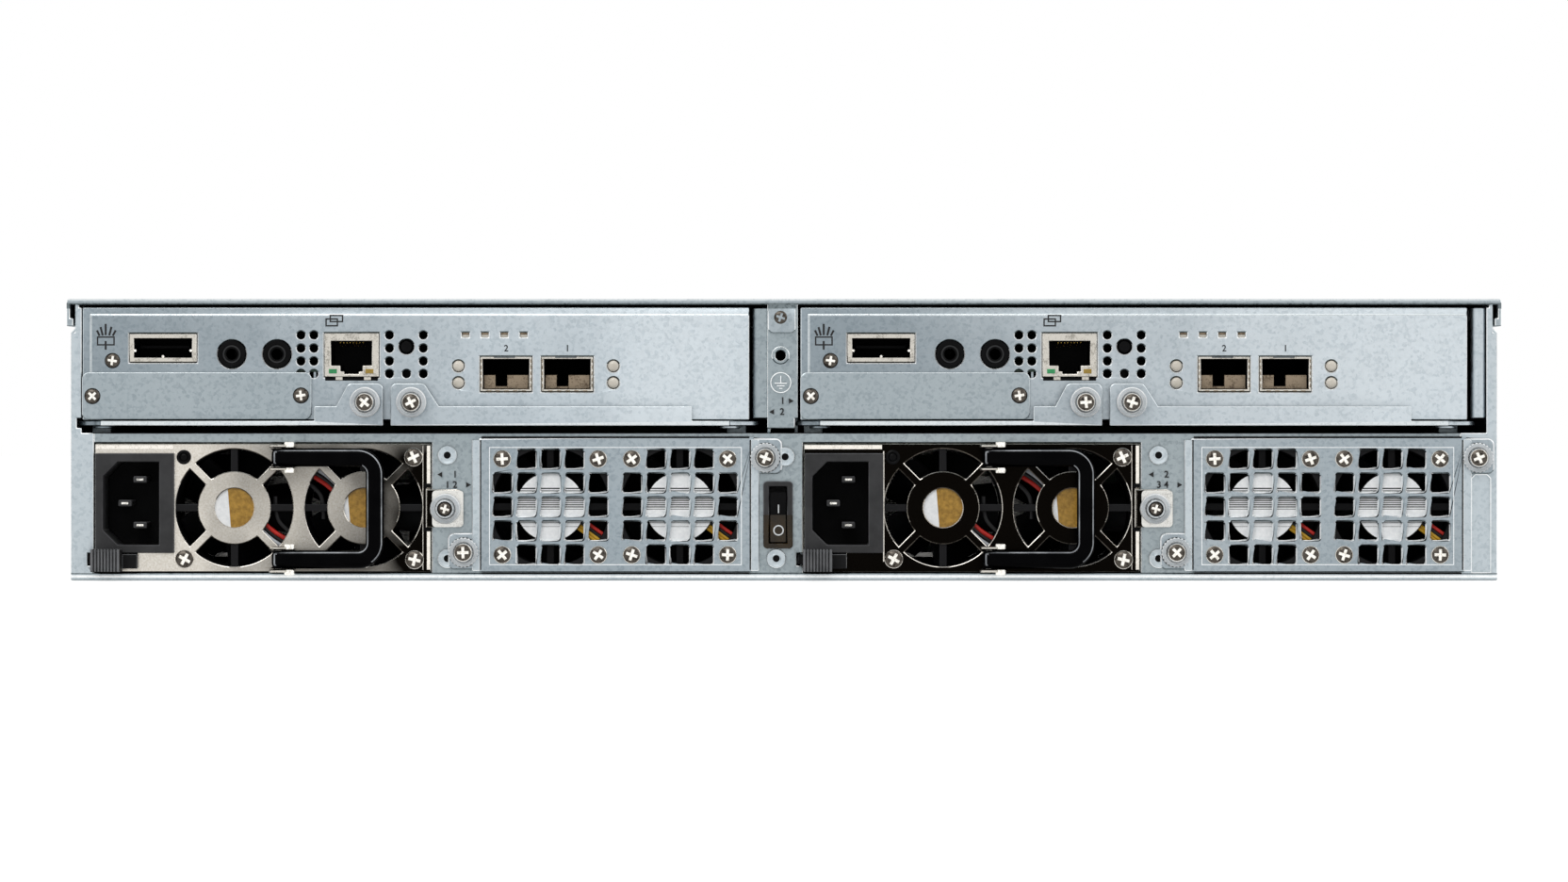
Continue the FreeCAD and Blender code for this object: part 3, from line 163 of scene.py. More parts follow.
def feed(tree, shader, wires):
    # links what drives each of a shader's sockets
    for socket, wire in wires.items():
        tree.links.new(wire, shader.inputs[socket])


def scratched(tree, place, shader, roughness, less, more):
    # fine lines along the sheet: most in the roughness, a hair in the relief
    lines = grain(tree, stretched(tree, place, 0.2, 1, 1.6), 0.5, 4)
    feed(tree, shader, {"Roughness": spread(tree, lines, roughness - less, roughness + more),
                        "Normal": bump(tree, lines, 0.06, 0.01)})


def galvanisedSteel(name, low, high, roughness=0.42, clouds="#EDF0F2", crystalMm=0.9, paintedShade=None):
    # hot-dip galvanised sheet, skin-passed: small matt zinc crystals, a soft blue grey
    # that changes from crystal to crystal, and faint rolling marks along the sheet;
    # the last argument is a painted shade, a darker tone at one end of a sheet: (colour, from, to) in
    # mm
    material, tree, shader, place = startMaterial(name, {"Metallic": 1, "Roughness": roughness})
    crystals = addNode(tree, "ShaderNodeTexVoronoi", {"Vector": place, "Scale": perUnit(crystalMm)})
    single = addNode(tree, "ShaderNodeSeparateColor", {"Color": crystals.outputs["Color"]})
    tone = addNode(tree, "ShaderNodeMath", {0: single.outputs["Red"], 1: grain(tree, place, 0.45)},
                   operation="ADD")
    zinc = ramp(tree, tone.outputs["Value"], low, high, 0.3, 1.4)
    cloud = ramp(tree, grain(tree, place, 110, 2), clouds, "#FFFFFF", 0.35, 0.65)
    mixed = multiplied(tree, zinc, cloud)
    # painted shade: the sheet darkens towards one end
    if paintedShade:
        mixed = multiplied(tree, mixed, lengthwise(tree, place, paintedShade[0], "#FFFFFF", *paintedShade[1:]))
    rolled = grain(tree, stretched(tree, place, 1, 0.05, 0.05), 0.35, 2)
    rough = spread(tree, single.outputs["Green"], roughness - 0.06, roughness + 0.1, 0, 1)
    feed(tree, shader, {"Base Color": mixed, "Roughness": rough,
                        "Normal": bump(tree, rolled, 0.12, 0.02)})
    return material


def platedSteel(name, low, high, roughness, patchMm=9, scratches=0.1, metal=1):
    # electroplated sheet or wire: close and smooth, with slow clouds in the plating
    # and fine handling scratches that only the roughness shows; the painted highlight
    # on punched rims takes less metal, so that it is less of a mirror
    material, tree, shader, place = startMaterial(name, {"Metallic": metal, "Roughness": roughness})
    patches = addNode(tree, "ShaderNodeMath", {
        0: grain(tree, place, patchMm, 2), 1: grain(tree, place, 0.5, 2)}, operation="ADD")
    feed(tree, shader, {"Base Color": ramp(tree, patches.outputs["Value"], low, high, 0.75, 1.25)})
    scratched(tree, place, shader, roughness, scratches / 2, scratches)
    return material


def mouldedPlastic(name, low, high, roughness, grainMm=0.35, relief=0.25, clear=0, coat=0, gloss=0.5):
    # injection moulded: one colour through, a fine eroded texture from the mould
    material, tree, shader, place = startMaterial(name, {
        "Roughness": roughness, "IOR": 1.5, "Transmission Weight": clear, "Coat Weight": coat,
        "Coat Roughness": 0.08, "Specular IOR Level": gloss})
    fine = grain(tree, place, grainMm, 3)
    feed(tree, shader, {"Base Color": ramp(tree, grain(tree, place, 6, 3), low, high),
                        "Roughness": spread(tree, fine, roughness - 0.05, roughness + 0.08),
                        "Normal": bump(tree, fine, relief, 0.02)})
    return material


def nickelWithPaintedReflection(name, light, dark, fromMm, toMm, roughness):
    # nickel plated sheet with a painted reflection along its length: close grained,
    # light at one end and deep brown at the other, with fine lines in the roughness
    material, tree, shader, place = startMaterial(name, {"Metallic": 1, "Roughness": roughness})
    tone = lengthwise(tree, place, light, dark, fromMm, toMm)
    speckle = ramp(tree, grain(tree, place, 0.6, 2), "#E9E6E1", "#FFFFFF")
    feed(tree, shader, {"Base Color": multiplied(tree, tone, speckle)})
    scratched(tree, place, shader, roughness, 0.05, 0.1)
    return material


def printedLabel(name, low, high, roughness=0.5):
    # coated paper or film label: a faint paper cloud under a thin varnish
    material, tree, shader, place = startMaterial(name, {"Roughness": roughness, "IOR": 1.45})
    feed(tree, shader, {"Base Color": ramp(tree, grain(tree, place, 1.2, 3), low, high),
                        "Normal": bump(tree, grain(tree, place, 0.4, 2), 0.1, 0.01)})
    return material


finishes = {
    "zincSheet": galvanisedSteel("zincSheet", "#A2ACB1", "#B9C2C6"),
    "zincFront": galvanisedSteel("zincFront", "#A9B3B8", "#BEC6CA", 0.4),
    # painted shade: each controller sheet darkens towards its left end
    "zincCtrl1": galvanisedSteel("zincFaceLeft", "#B7C0C5", "#CDD4D8", 0.4,
                                 paintedShade=("#B4B9BC", -196, -34)),
    "zincCtrl2": galvanisedSteel("zincFaceRight", "#B7C0C5", "#CDD4D8", 0.4,
                                 paintedShade=("#B4B9BC", 26, 188)),
    "zincTray": galvanisedSteel("zincTrayFace", "#8D979D", "#A2ABB0"),
    "zincFrame": galvanisedSteel("zincFrame", "#858E92", "#9DA6A9"),
    "zincCover": galvanisedSteel("zincCover", "#939CA1", "#A9B1B5"),
    "zincPlate": galvanisedSteel("zincPlate", "#8C969B", "#A1AAAE"),
    # painted highlight: a softer bright finish for broken edges, pressed steps, lever feet and the
    # cover's top
    "plateEdge": platedSteel("softSteelHighlight", "#BFC7CA", "#D3D9DB", 0.35, 2),
    "foldShade": platedSteel("shadedSteelEdge", "#4E5659", "#6E777A", 0.4, 2),
    # painted shade for nickel edges that look down
    "plateShade": platedSteel("shadedNickelEdge", "#3C3834", "#5C5750", 0.35, 2),
    # painted highlight on broken steel edges, pressed lines and signs, and dimple rims
    "edgeHighlight": platedSteel("steelEdgeHighlight", "#E6EAEB", "#F6F8F8", 0.3, 2),
    # painted highlight: near white, for the rims of punched holes and the panels' broken edges
    "rimHighlight": platedSteel("zincRimHighlight", "#D9DFE1", "#F4F6F7", 0.35, 2, metal=0.3),
    "darkEdge": platedSteel("darkSteelEdge", "#4A4F52", "#656B6E", 0.4, 2),
    # painted reflection: the supplies' nickel fronts go from light to deep brown across their length
    "nickelSheet": nickelWithPaintedReflection("nickelSheetPaintedReflection", "#D8D4CC", "#0B0907", -186, -116, 0.3),
    # painted highlight on nickel edges, the supplies' folded lips and the screws' rims
    "nickelHighlight": platedSteel("nickelEdgeHighlight", "#D8D2C8", "#F1ECE3", 0.24, 2),
    "brightNickel": platedSteel("brightNickelShell", "#9F9B92", "#CBC7BE", 0.22, 2.5),
    "tinCage": platedSteel("tinPlatedCage", "#B7B6B1", "#DCDBD6", 0.28, 3),
    # painted dark reflection on the plated faces of the screw heads
    "screwDarkReflection": platedSteel("nickelScrewDarkReflection", "#24211E", "#524D47", 0.3, 1.5),
    # bright metal for pins, clips and the sockets' dimples, and a painted highlight in the screws'
    # cross recesses
    "brightMetalAndHighlight": platedSteel("brightMetalAndRecessHighlight", "#D6D1C8", "#FFFDF6", 0.25, 0.7),
    "satinSteel": platedSteel("satinStainlessHead", "#8B9092", "#B9BDBF", 0.36, 1.0),
    "blackPbt": mouldedPlastic("blackGlassFilledPbt", "#2D2D2E", "#383839", 0.45, gloss=0.22),
    # painted highlight on the broken edges of the black inlets and switch
    "pbtHighlight": mouldedPlastic("pbtEdgeHighlight", "#48484A", "#5A5A5C", 0.45, gloss=0.3),
    "fanPlastic": mouldedPlastic("blackFanPlastic", "#08080A", "#0E0E10", 0.5, gloss=0.15),
    # painted highlight on the fan frames' broken edges
    "fanEdge": mouldedPlastic("rubbedFanPlastic", "#121315", "#1A1B1D", 0.45, gloss=0.18),
    # painted shade: near black, for hollows, mouths, gaps, slots and pits
    "darkHollow": mouldedPlastic("hollowShadeBlack", "#050506", "#0A0A0B", 0.6, gloss=0.08),
    # painted shade for the optical cages' floors and fingers and the lamp windows' tops
    "cageShade": platedSteel("shadedCageFloor", "#5D5144", "#8C7E6C", 0.5, 4),
    "grip": mouldedPlastic("softBlackGrip", "#0E0E0F", "#171718", 0.5, 0.25, 0.35, gloss=0.12),
    "jackPlastic": mouldedPlastic("glossBlackSocketPlastic", "#060607", "#0C0C0D", 0.3, gloss=0.06),
    # painted highlight on the jacks' chamfer
    "jackRingHighlight": mouldedPlastic("socketRingHighlight", "#1C1D1E", "#28292A", 0.3, gloss=0.25),
    # painted highlight on the fronts and edges of the latches' ribs
    "gripHighlight": mouldedPlastic("gripRibHighlight", "#5E5F61", "#77787A", 0.4, gloss=0.3),
    "maskedBoard": mouldedPlastic("solderMaskedBoard", "#0E3A22", "#16502F", 0.35, 0.6, 0.3),
    "handleEnamel": mouldedPlastic("blackStoveEnamel", "#020203", "#050506", 0.3, 0.8, 0.03,
                                   gloss=0.02),
    # painted highlight lines on the handles' rounded edges
    "enamelHighlight": mouldedPlastic("enamelRidgeHighlight", "#6F7276", "#A9ADB1", 0.25, 3, 0.03, gloss=0.4),
    "filmedBlack": mouldedPlastic("amberFilmOverBlack", "#1F1605", "#33250B", 0.22, 0.8, 0.05,
                                  gloss=0.3),
    "milkyRing": mouldedPlastic("clearPolycarbonate", "#C3CACE", "#DCE2E5", 0.22, 0.7, 0.1, clear=0.15),
    # painted highlight on the collars' sloping faces
    "milkyHighlight": mouldedPlastic("polycarbonateEdgeHighlight", "#F1F4F5", "#FFFFFF", 0.2, 0.7, 0.1),
    "milkyPipe": mouldedPlastic("milkyAcrylic", "#C7C0B2", "#DDD6CA", 0.3, 0.6, 0.1),
    "hubWhite": printedLabel("whiteFanLabel", "#EDEFF0", "#FBFCFC", 0.4),
    "hubGold": printedLabel("goldFilmLabel", "#8F6A1E", "#B48A34", 0.35),
    # painted shade: a near-black sheet that stands for the dark inside of the box
    "innerShadeSheet": mouldedPlastic("darkSheetForInnerShade", "#0B0B0C", "#151516", 0.9, 0.9, 1.0, gloss=0.05),
    "ink": printedLabel("blackScreenInk", "#050506", "#0A0B0C", 0.7),
    "whiteInk": printedLabel("whiteScreenInk", "#DDE1E3", "#F4F6F6", 0.5),
    "greenLens": mouldedPlastic("greenLens", "#1E7A45", "#2F9A5C", 0.25, 0.8, 0.05),
    "amberLens": mouldedPlastic("amberLens", "#8F7424", "#B08F3A", 0.25, 0.8, 0.05),
    "goldContact": platedSteel("goldFlashedContact", "#B48A34", "#E0BC62", 0.3, 2),
    "driveAlloy": platedSteel("dieCastDriveAlloy", "#8E9296", "#B3B7BA", 0.45, 4),
}
for hue, dark, light, gloss in (("red", "#A81F18", "#C42A20", 0.3),
                                ("yellow", "#B98C1C", "#D3A62C", 0.3),
                                ("black", "#0D0D0E", "#151516", 0.2),
                                ("white", "#A9ADB3", "#C3C7CC", 0.3)):
    finishes[hue + "Wire"] = mouldedPlastic(hue + "PvcInsulation", dark, light, 0.4, 1, 0.05,
                                            gloss=gloss)
print("finishes made:", len(finishes))


# helpers for shapes

def clearPick():
    if bpy.context.object and bpy.context.object.mode != "OBJECT":
        bpy.ops.object.mode_set(mode="OBJECT")
    bpy.ops.object.select_all(action="DESELECT")


def choose(*pieces):
    clearPick()
    for piece in pieces:
        piece.select_set(True)
    bpy.context.view_layer.objects.active = pieces[0]


def openPiece(piece):
    choose(piece)
    bpy.ops.object.mode_set(mode="EDIT")
    bpy.ops.mesh.select_all(action="DESELECT")


def openWhole(piece):
    # opens a piece with all of it picked
    openPiece(piece)
    bpy.ops.mesh.select_all(action="SELECT")


def closePiece():
    bpy.ops.object.mode_set(mode="OBJECT")


def sliced(piece, cuts):
    # adds a loop of edges where each plane cuts a piece: (place in metres, direction)
    openPiece(piece)
    for place, direction in cuts:
        bpy.ops.mesh.select_all(action="SELECT")
        bpy.ops.mesh.bisect(plane_co=place, plane_no=direction)
    closePiece()


def shadeByAngle(piece, degrees):
    choose(piece)
    bpy.ops.object.shade_smooth_by_angle(angle=math.radians(degrees))


def pick(kind, passes):
    # picks faces or edges of the open piece
    bpy.ops.mesh.select_mode(type=kind)
    bpy.ops.mesh.select_all(action="DESELECT")
    mesh = bpy.context.object.data
    shape = bmesh.from_edit_mesh(mesh)
    for item in (shape.faces if kind == "FACE" else shape.edges):
        if passes(item, bpy.context.object.matrix_world):
            item.select_set(True)
    if kind == "FACE":
        shape.select_flush(True)
    bmesh.update_edit_mesh(mesh)


def pickFaces(test):
    # by centre and normal, in millimetres
    pick("FACE", lambda face, turn: test(turn @ face.calc_center_median() / mm, face.normal))


def pickEdges(test):
    # by their two ends, in millimetres
    pick("EDGE", lambda edge, turn: test(*(turn @ v.co / mm for v in edge.verts)))


def coat(piece, *materials):
    # one slot for each finish, in order
    for material in materials:
        piece.data.materials.append(finishes[material])


def settle(piece, body, *materials, smooth=30):
    # origin to the frame's origin, scale and turn into the mesh, finish on, body joined
    choose(piece)
    bpy.ops.object.transform_apply(location=True, rotation=True, scale=True)
    if smooth:
        shadeByAngle(piece, smooth)
    coat(piece, *materials)
    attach(piece, body)
    return piece


def useModifier(piece, kind, **settings):
    modifier = piece.modifiers.new(kind.title(), kind)
    for key, value in settings.items():
        setattr(modifier, key, value)
    choose(piece)
    bpy.ops.object.modifier_apply(modifier=modifier.name)


def tint(piece, finish, test):
    # gives a finish to the faces whose centre, in millimetres, and normal pass
    coat(piece, finish)
    for face in piece.data.polygons:
        if test(face.center / mm, face.normal):
            face.material_index = len(piece.data.materials) - 1


def copyTo(piece, name, body, at, size=1.0, turn=0):
    # a copy with a mesh of its own; a master faces the service side at the origin
    twin = piece.copy()
    twin.data = piece.data.copy()
    twin.name = name
    bpy.context.scene.collection.objects.link(twin)
    twin.location = at
    twin.rotation_euler = (0, math.radians(turn), 0)
    twin.scale = (size, size, size)
    return settle(twin, body, smooth=0)


def joined(name, pieces):
    choose(*pieces)
    bpy.ops.object.join()
    pieces[0].name = name
    return pieces[0]


def turned(name, sides, steps, at=(0, 0, 0)):
    # a round piece drawn out ring by ring towards the service side: (radius, forward) in mm
    radius, forward = steps[0]
    clearPick()
    bpy.ops.mesh.primitive_circle_add(vertices=sides, radius=radius * mm, fill_type="NGON",
                                      location=(at[0], at[1] - forward * mm, at[2]),
                                      rotation=(math.radians(90), 0, 0))
    piece = bpy.context.object
    piece.name = name
    choose(piece)
    bpy.ops.object.transform_apply(location=True, rotation=True, scale=True)
    openWhole(piece)
    for nextRadius, nextForward in steps[1:]:
        bpy.ops.mesh.extrude_region_move(
            TRANSFORM_OT_translate={"value": (0, (forward - nextForward) * mm, 0)})
        share = nextRadius / radius
        bpy.ops.transform.resize(value=(share, 1, share), center_override=at)
        radius, forward = nextRadius, nextForward
    bpy.ops.mesh.select_all(action="SELECT")
    bpy.ops.mesh.normals_make_consistent(inside=False)
    closePiece()
    return piece


def hoop(name, sides, steps, at=(0, 0, 0)):
    # an open ring drawn round its own section and closed on itself: (radius, forward) in mm
    piece = turned(name, sides, steps + [steps[0]], at)
    openPiece(piece)
    pickFaces(lambda c, normal: abs(abs(normal.y) - 1) < 0.001
              and math.hypot(c.x - at[0] / mm, c.z - at[2] / mm) < 0.01)
    bpy.ops.mesh.delete(type="FACE")
    bpy.ops.mesh.select_all(action="SELECT")
    bpy.ops.mesh.remove_doubles(threshold=0.0005 * mm)
    bpy.ops.mesh.normals_make_consistent(inside=False)
    closePiece()
    return piece


def slab(name, low, high, round=0.0, edge=0.0):
    # a block between two places in metres, its outline rounded and its front edge broken
    clearPick()
    middle = (Vector(low) + Vector(high)) / 2
    bpy.ops.mesh.primitive_cube_add(size=1, location=middle, scale=Vector(high) - Vector(low))
    piece = bpy.context.object
    piece.name = name
    choose(piece)
    bpy.ops.object.transform_apply(location=True, rotation=True, scale=True)
    openPiece(piece)
    if round:
        pickEdges(lambda a, b: abs(a.x - b.x) < 0.001 and abs(a.z - b.z) < 0.001)
        bpy.ops.mesh.bevel(offset=round * mm, segments=4, affect="EDGES")
    if edge:
        front = low[1] / mm
        pickEdges(lambda a, b: a.y < front + 0.001 and b.y < front + 0.001)
        bpy.ops.mesh.bevel(offset=edge * mm, segments=1, affect="EDGES")
    closePiece()
    return piece


def stroke(name, points, widthMm, flat=1.0, closed=False, curved=False):
    # a round bar along places in metres; flat presses it onto the face that it lies on
    curve = bpy.data.curves.new(name, "CURVE")
    curve.dimensions = "3D"
    spline = curve.splines.new("NURBS" if curved else "POLY")
    spline.points.add(len(points) - 1)
    for place, point in zip(spline.points, points):
        place.co = (*point, 1)
    spline.use_cyclic_u = closed
    if curved:
        spline.order_u = 3
        spline.use_endpoint_u = True
    curve.bevel_depth = widthMm / 2 * mm
    curve.bevel_resolution = 2
    curve.use_fill_caps = True
    piece = bpy.data.objects.new(name, curve)
    bpy.context.scene.collection.objects.link(piece)
    choose(piece)
    bpy.ops.object.convert(target="MESH")
    if flat != 1:
        openWhole(piece)
        bpy.ops.transform.resize(value=(1, flat, 1), center_override=points[0])
        closePiece()
    return piece


# figures: type size for a figure one millimetre high, then thickness and weight in mm
letterLook = {"size": 1.4, "thick": 0.02, "weight": 0.05}


def lettered(name, text, heightMm, at):
    # plain figures, cut as flat shapes that stand a hair off the sheet
    bpy.ops.object.text_add(location=at, rotation=(math.radians(90), 0, 0))
    piece = bpy.context.object
    piece.name = name
    piece.data.body = text
    piece.data.size = heightMm * letterLook["size"] * mm
    piece.data.align_x = "CENTER"
    piece.data.extrude = letterLook["thick"] * mm
    piece.data.offset = letterLook["weight"] * mm
    choose(piece)
    bpy.ops.object.convert(target="MESH")
    return piece


def corner(node, x=0.0, y=0.0, z=0.0):
    # a place in millimetres, counted from a node's left, rear, lower corner
    low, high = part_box(node)
    return Vector((low.x / mm + x, low.y / mm + y, low.z / mm + z))


# how solids are dressed: seams closer than weld mm are joined, corners sharper than sharp
# degrees are broken, and an edge whose normal falls below down is one that looks down
dressLook = {"weld": 0.002, "sharp": 40, "down": -0.3, "smooth": 30}


def dress(node, face, edge, under, width, segments, without=None, soften=None):
    # a copy of the solid with its seams joined and its sharp edges broken, the way a
    # punch or a mould leaves them; the broken edge takes a brighter finish, a painted
    # highlight, and a darker one where it looks down, a painted shade
    source = nodes[node]
    piece = source.copy()
    piece.data = source.data.copy()
    piece.name = node + "_dressed"
    bpy.context.scene.collection.objects.link(piece)
    piece.parent = None
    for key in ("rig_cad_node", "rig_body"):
        if key in piece:
            del piece[key]
    openWhole(piece)
    bpy.ops.mesh.remove_doubles(threshold=dressLook["weld"] * mm)
    if without:
        pickFaces(without)
        bpy.ops.mesh.delete(type="FACE")
    if soften:
        pickEdges(soften["test"])
        bpy.ops.mesh.bevel(offset=soften["by"] * mm, segments=2, affect="EDGES")
    closePiece()
    piece.data.materials.clear()
    coat(piece, face, edge, under)
    for polygon in piece.data.polygons:
        polygon.material_index = 0
    if width:
        useModifier(piece, "BEVEL", width=width * mm, segments=segments, limit_method="ANGLE",
                    angle_limit=math.radians(dressLook["sharp"]), use_clamp_overlap=False, material=1,
                    loop_slide=False)
    # painted shade: a broken edge that looks down takes the darker finish
    for polygon in piece.data.polygons:
        if polygon.material_index == 1 and polygon.normal.z < dressLook["down"]:
            polygon.material_index = 2
    shadeByAngle(piece, dressLook["smooth"])
    useModifier(piece, "WEIGHTED_NORMAL", mode="FACE_AREA", weight=90, keep_sharp=True)
    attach(piece, source["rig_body"])
    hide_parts(node)
    return piece


# the camera stands straight behind the service side, level with the middle of the box
low, high = (Vector(p) for p in cadBounds)
view = {"distance": 1.9, "acrossMm": 483.2, "heightMm": 43.2, "sensor": 36}
bpy.ops.object.camera_add(location=(0, low.y - view["distance"], view["heightMm"] * mm),
                          rotation=(math.radians(90), 0, 0))
camera = bpy.context.object
camera.data.sensor_width = view["sensor"]
camera.data.lens = view["sensor"] * view["distance"] / (view["acrossMm"] * mm)
camera.data.clip_end = 20
bpy.context.scene.camera = camera
bpy.context.scene.view_settings.view_transform = "Standard"

# soft studio: a pale sky and two large lamps; what the eye and the metal see is plain white
studio = {"skyTop": "#FFFFFF", "skyLow": "#B9BEC2", "sky": 0.7, "backdrop": 1.0, "floorWide": 30,
          "floorLow": 0.2, "ownWhite": 0.72,
          "lamps": [((-0.7, -1.7, 1.5), (52, 0, -20), (1.6, 0.7), 16),
                    ((1.5, -0.9, 1.0), (62, 0, 58), (1.2, 1.2), 6)]}


def seenDirectly(tree):
    # one for rays from the eye, from a mirror or through glass, and nought for the rest
    rays = addNode(tree, "ShaderNodeLightPath").outputs
    first = addNode(tree, "ShaderNodeMath", {0: rays["Is Camera Ray"], 1: rays["Is Glossy Ray"]},
                    operation="MAXIMUM")
    return addNode(tree, "ShaderNodeMath", {0: first.outputs[0], 1: rays["Is Transmission Ray"]},
                   operation="MAXIMUM").outputs[0]


world = bpy.data.worlds.new("studio")
bpy.context.scene.world = world
world.use_nodes = True
sky = world.node_tree
sky.nodes.clear()
toward = addNode(sky, "ShaderNodeTexCoord").outputs["Generated"]
upward = addNode(sky, "ShaderNodeSeparateXYZ", {"Vector": toward}).outputs["Z"]
shade = ramp(sky, spread(sky, upward, 0, 1, -0.6, 0.7), studio["skyLow"], studio["skyTop"], 0, 1)
soft = addNode(sky, "ShaderNodeBackground", {"Color": shade, "Strength": studio["sky"]})
plain = addNode(sky, "ShaderNodeBackground", {"Color": (1, 1, 1, 1), "Strength": studio["backdrop"]})
seen = addNode(sky, "ShaderNodeMixShader", {
    "Fac": seenDirectly(sky), 1: soft.outputs[0], 2: plain.outputs[0]})
addNode(sky, "ShaderNodeOutputWorld", {"Surface": seen.outputs[0]})
for spot, turn, size, power in studio["lamps"]:
    bpy.ops.object.light_add(type="AREA", location=spot, rotation=[math.radians(a) for a in turn])
    lamp = bpy.context.object
    lamp.data.shape = "RECTANGLE"
    lamp.data.size, lamp.data.size_y = size
    lamp.data.energy = power

# matt white sweep: half of its white is its own, so that the shadow stays and the rest is white
bpy.ops.mesh.primitive_plane_add(size=studio["floorWide"],
                                 location=(0, 0, low.z - studio["floorLow"] * mm))
floor = bpy.context.object
floor.name = "floor"
sweep, tree, shader, place = startMaterial("matWhiteSweep", {
    "Roughness": 0.9, "Specular IOR Level": 0.0})
tree.links.new(ramp(tree, grain(tree, place, 40, 2), "#B9B9B9", "#BDBDBD"), shader.inputs["Base Color"])
ownWhite = addNode(tree, "ShaderNodeMath", {0: seenDirectly(tree), 1: studio["ownWhite"]},
                   operation="MULTIPLY")
shader.inputs["Emission Color"].default_value = (1, 1, 1, 1)
tree.links.new(ownWhite.outputs[0], shader.inputs["Emission Strength"])
floor.data.materials.append(sweep)
print("camera and light set")

# each slide-in unit's lower left corner on its rear face, in millimetres
pairs = (1, 2)
kinds = {"ctrl": "controller", "psu": "supply", "fan": "fan_tray"}
bodies = {f"{kind}{n}": f"{body}_{n}" for kind, body in kinds.items() for n in pairs}
units = {}
for n in pairs:
    units[f"ctrl{n}"] = corner(f"ctrl{n}_panel", 0, 0, -1.9)
    units[f"psu{n}"] = corner(f"psu{n}_case", -0.3, -0.8, -0.3)
    units[f"fan{n}"] = corner(f"fan{n}_tray", 10.9, 0, -0.2)
    units[f"fan{n}"].y = corner(f"fan{n}_fan_frames").y - 1.2
units["frame"] = Vector((0, corner("rear_frame").y, 0))


def inUnit(unit, u, w, back=0.0):
    # a place in millimetres, from across, up and into a unit
    return units[unit] + Vector((u, back, w))


def on(unit, u, w, back=0.0):
    return inUnit(unit, u, w, back) * mm


def apart(c, axis):
    # how far a place lies from an axis that runs front to back, in millimetres
    return math.hypot(c.x - axis.x, c.z - axis.z)


def within(unit, left, right, foot, top, front=-30.0, back=400.0):
    # a test for faces in a block of a unit
    low = inUnit(unit, left, foot, front)
    high = inUnit(unit, right, top, back)
    return lambda c, normal=None: (low.x < c.x < high.x and low.y < c.y < high.y
                                   and low.z < c.z < high.z)


def block(name, unit, finish, span, depth, round=0.0, edge=0.0):
    # a settled slab: span is its left, foot, right and top, depth its front and back
    left, foot, right, top = span
    piece = slab(name, on(unit, left, foot, depth[0]), on(unit, right, top, depth[1]), round, edge)
    return settle(piece, bodies[unit], finish)


# thumbscrews and their sheets: the plain screw of the solid gives way to a finer one
thumbSpots = [(f"ctrl{n}", f"lever_{side}_{n}", f"ctrl{n}_lever_{side}", u, 7.35, -5.5)
              for n in pairs for side, u in (("left", 88.0), ("right", 102.3))]
thumbSpots += [(f"psu{n}", f"supply_{n}", f"psu{n}_front", 109.1, 19.9, -1.6) for n in pairs]
thumbSpots += [(f"fan{n}", f"fan_tray_{n}", f"fan{n}_tray", u, w, 0.0)
               for n in pairs for u, w in ((-6.0, 6.4), (87.4, 35.7))]

# a fan tray's grilles, screws, white hub labels with plain bars, and leads
trayLook = {"fans": (20.8, 60.9), "middle": 20.5, "grilleHalf": 18.2, "cellRound": 0.55, "screw": 14.85,
            "labelR": 10.6, "wire": 1.1,
            "bars": ((5.5, 5.9), (4.8, 5.1), (2.4, 2.8), (1.75, 2.1), (1.1, 1.45), (0.45, 0.8),
                     (-0.2, 0.15), (-0.8, -0.6), (-5.0, -4.85), (-6.2, -6.05))}
panelSeam = 73.4  # where the two sheets of a controller's panel meet


def hiddenFaces(member):
    # what a dressed copy leaves out: plain thumbscrews, and the seam between a panel's two sheets
    if member.endswith("_panel"):
        seam = corner(member).x + panelSeam
        return lambda c, normal: abs(normal.x) > 0.99 and abs(c.x - seam) < 0.01
    spots = [inUnit(unit, u, w, seat) for unit, b, sheet, u, w, seat in thumbSpots
             if sheet == member]
    if not spots:
        return None
    return lambda c, normal: any(c.y < s.y - 0.02 and apart(c, s) < 4.8 for s in spots)


def cellEdges(unit):
    # the four upright corners of each square hole in a fan tray's two grilles
    def test(a, b):
        if abs(a.x - b.x) > 0.01 or abs(a.z - b.z) > 0.01 or abs(a.y - b.y) < 0.5:
            return False
        place = a - units[unit]
        return any(max(abs(place.x - u), abs(place.z - trayLook["middle"])) < trayLook["grilleHalf"]
                   for u in trayLook["fans"])
    return {"test": test, "by": trayLook["cellRound"]}


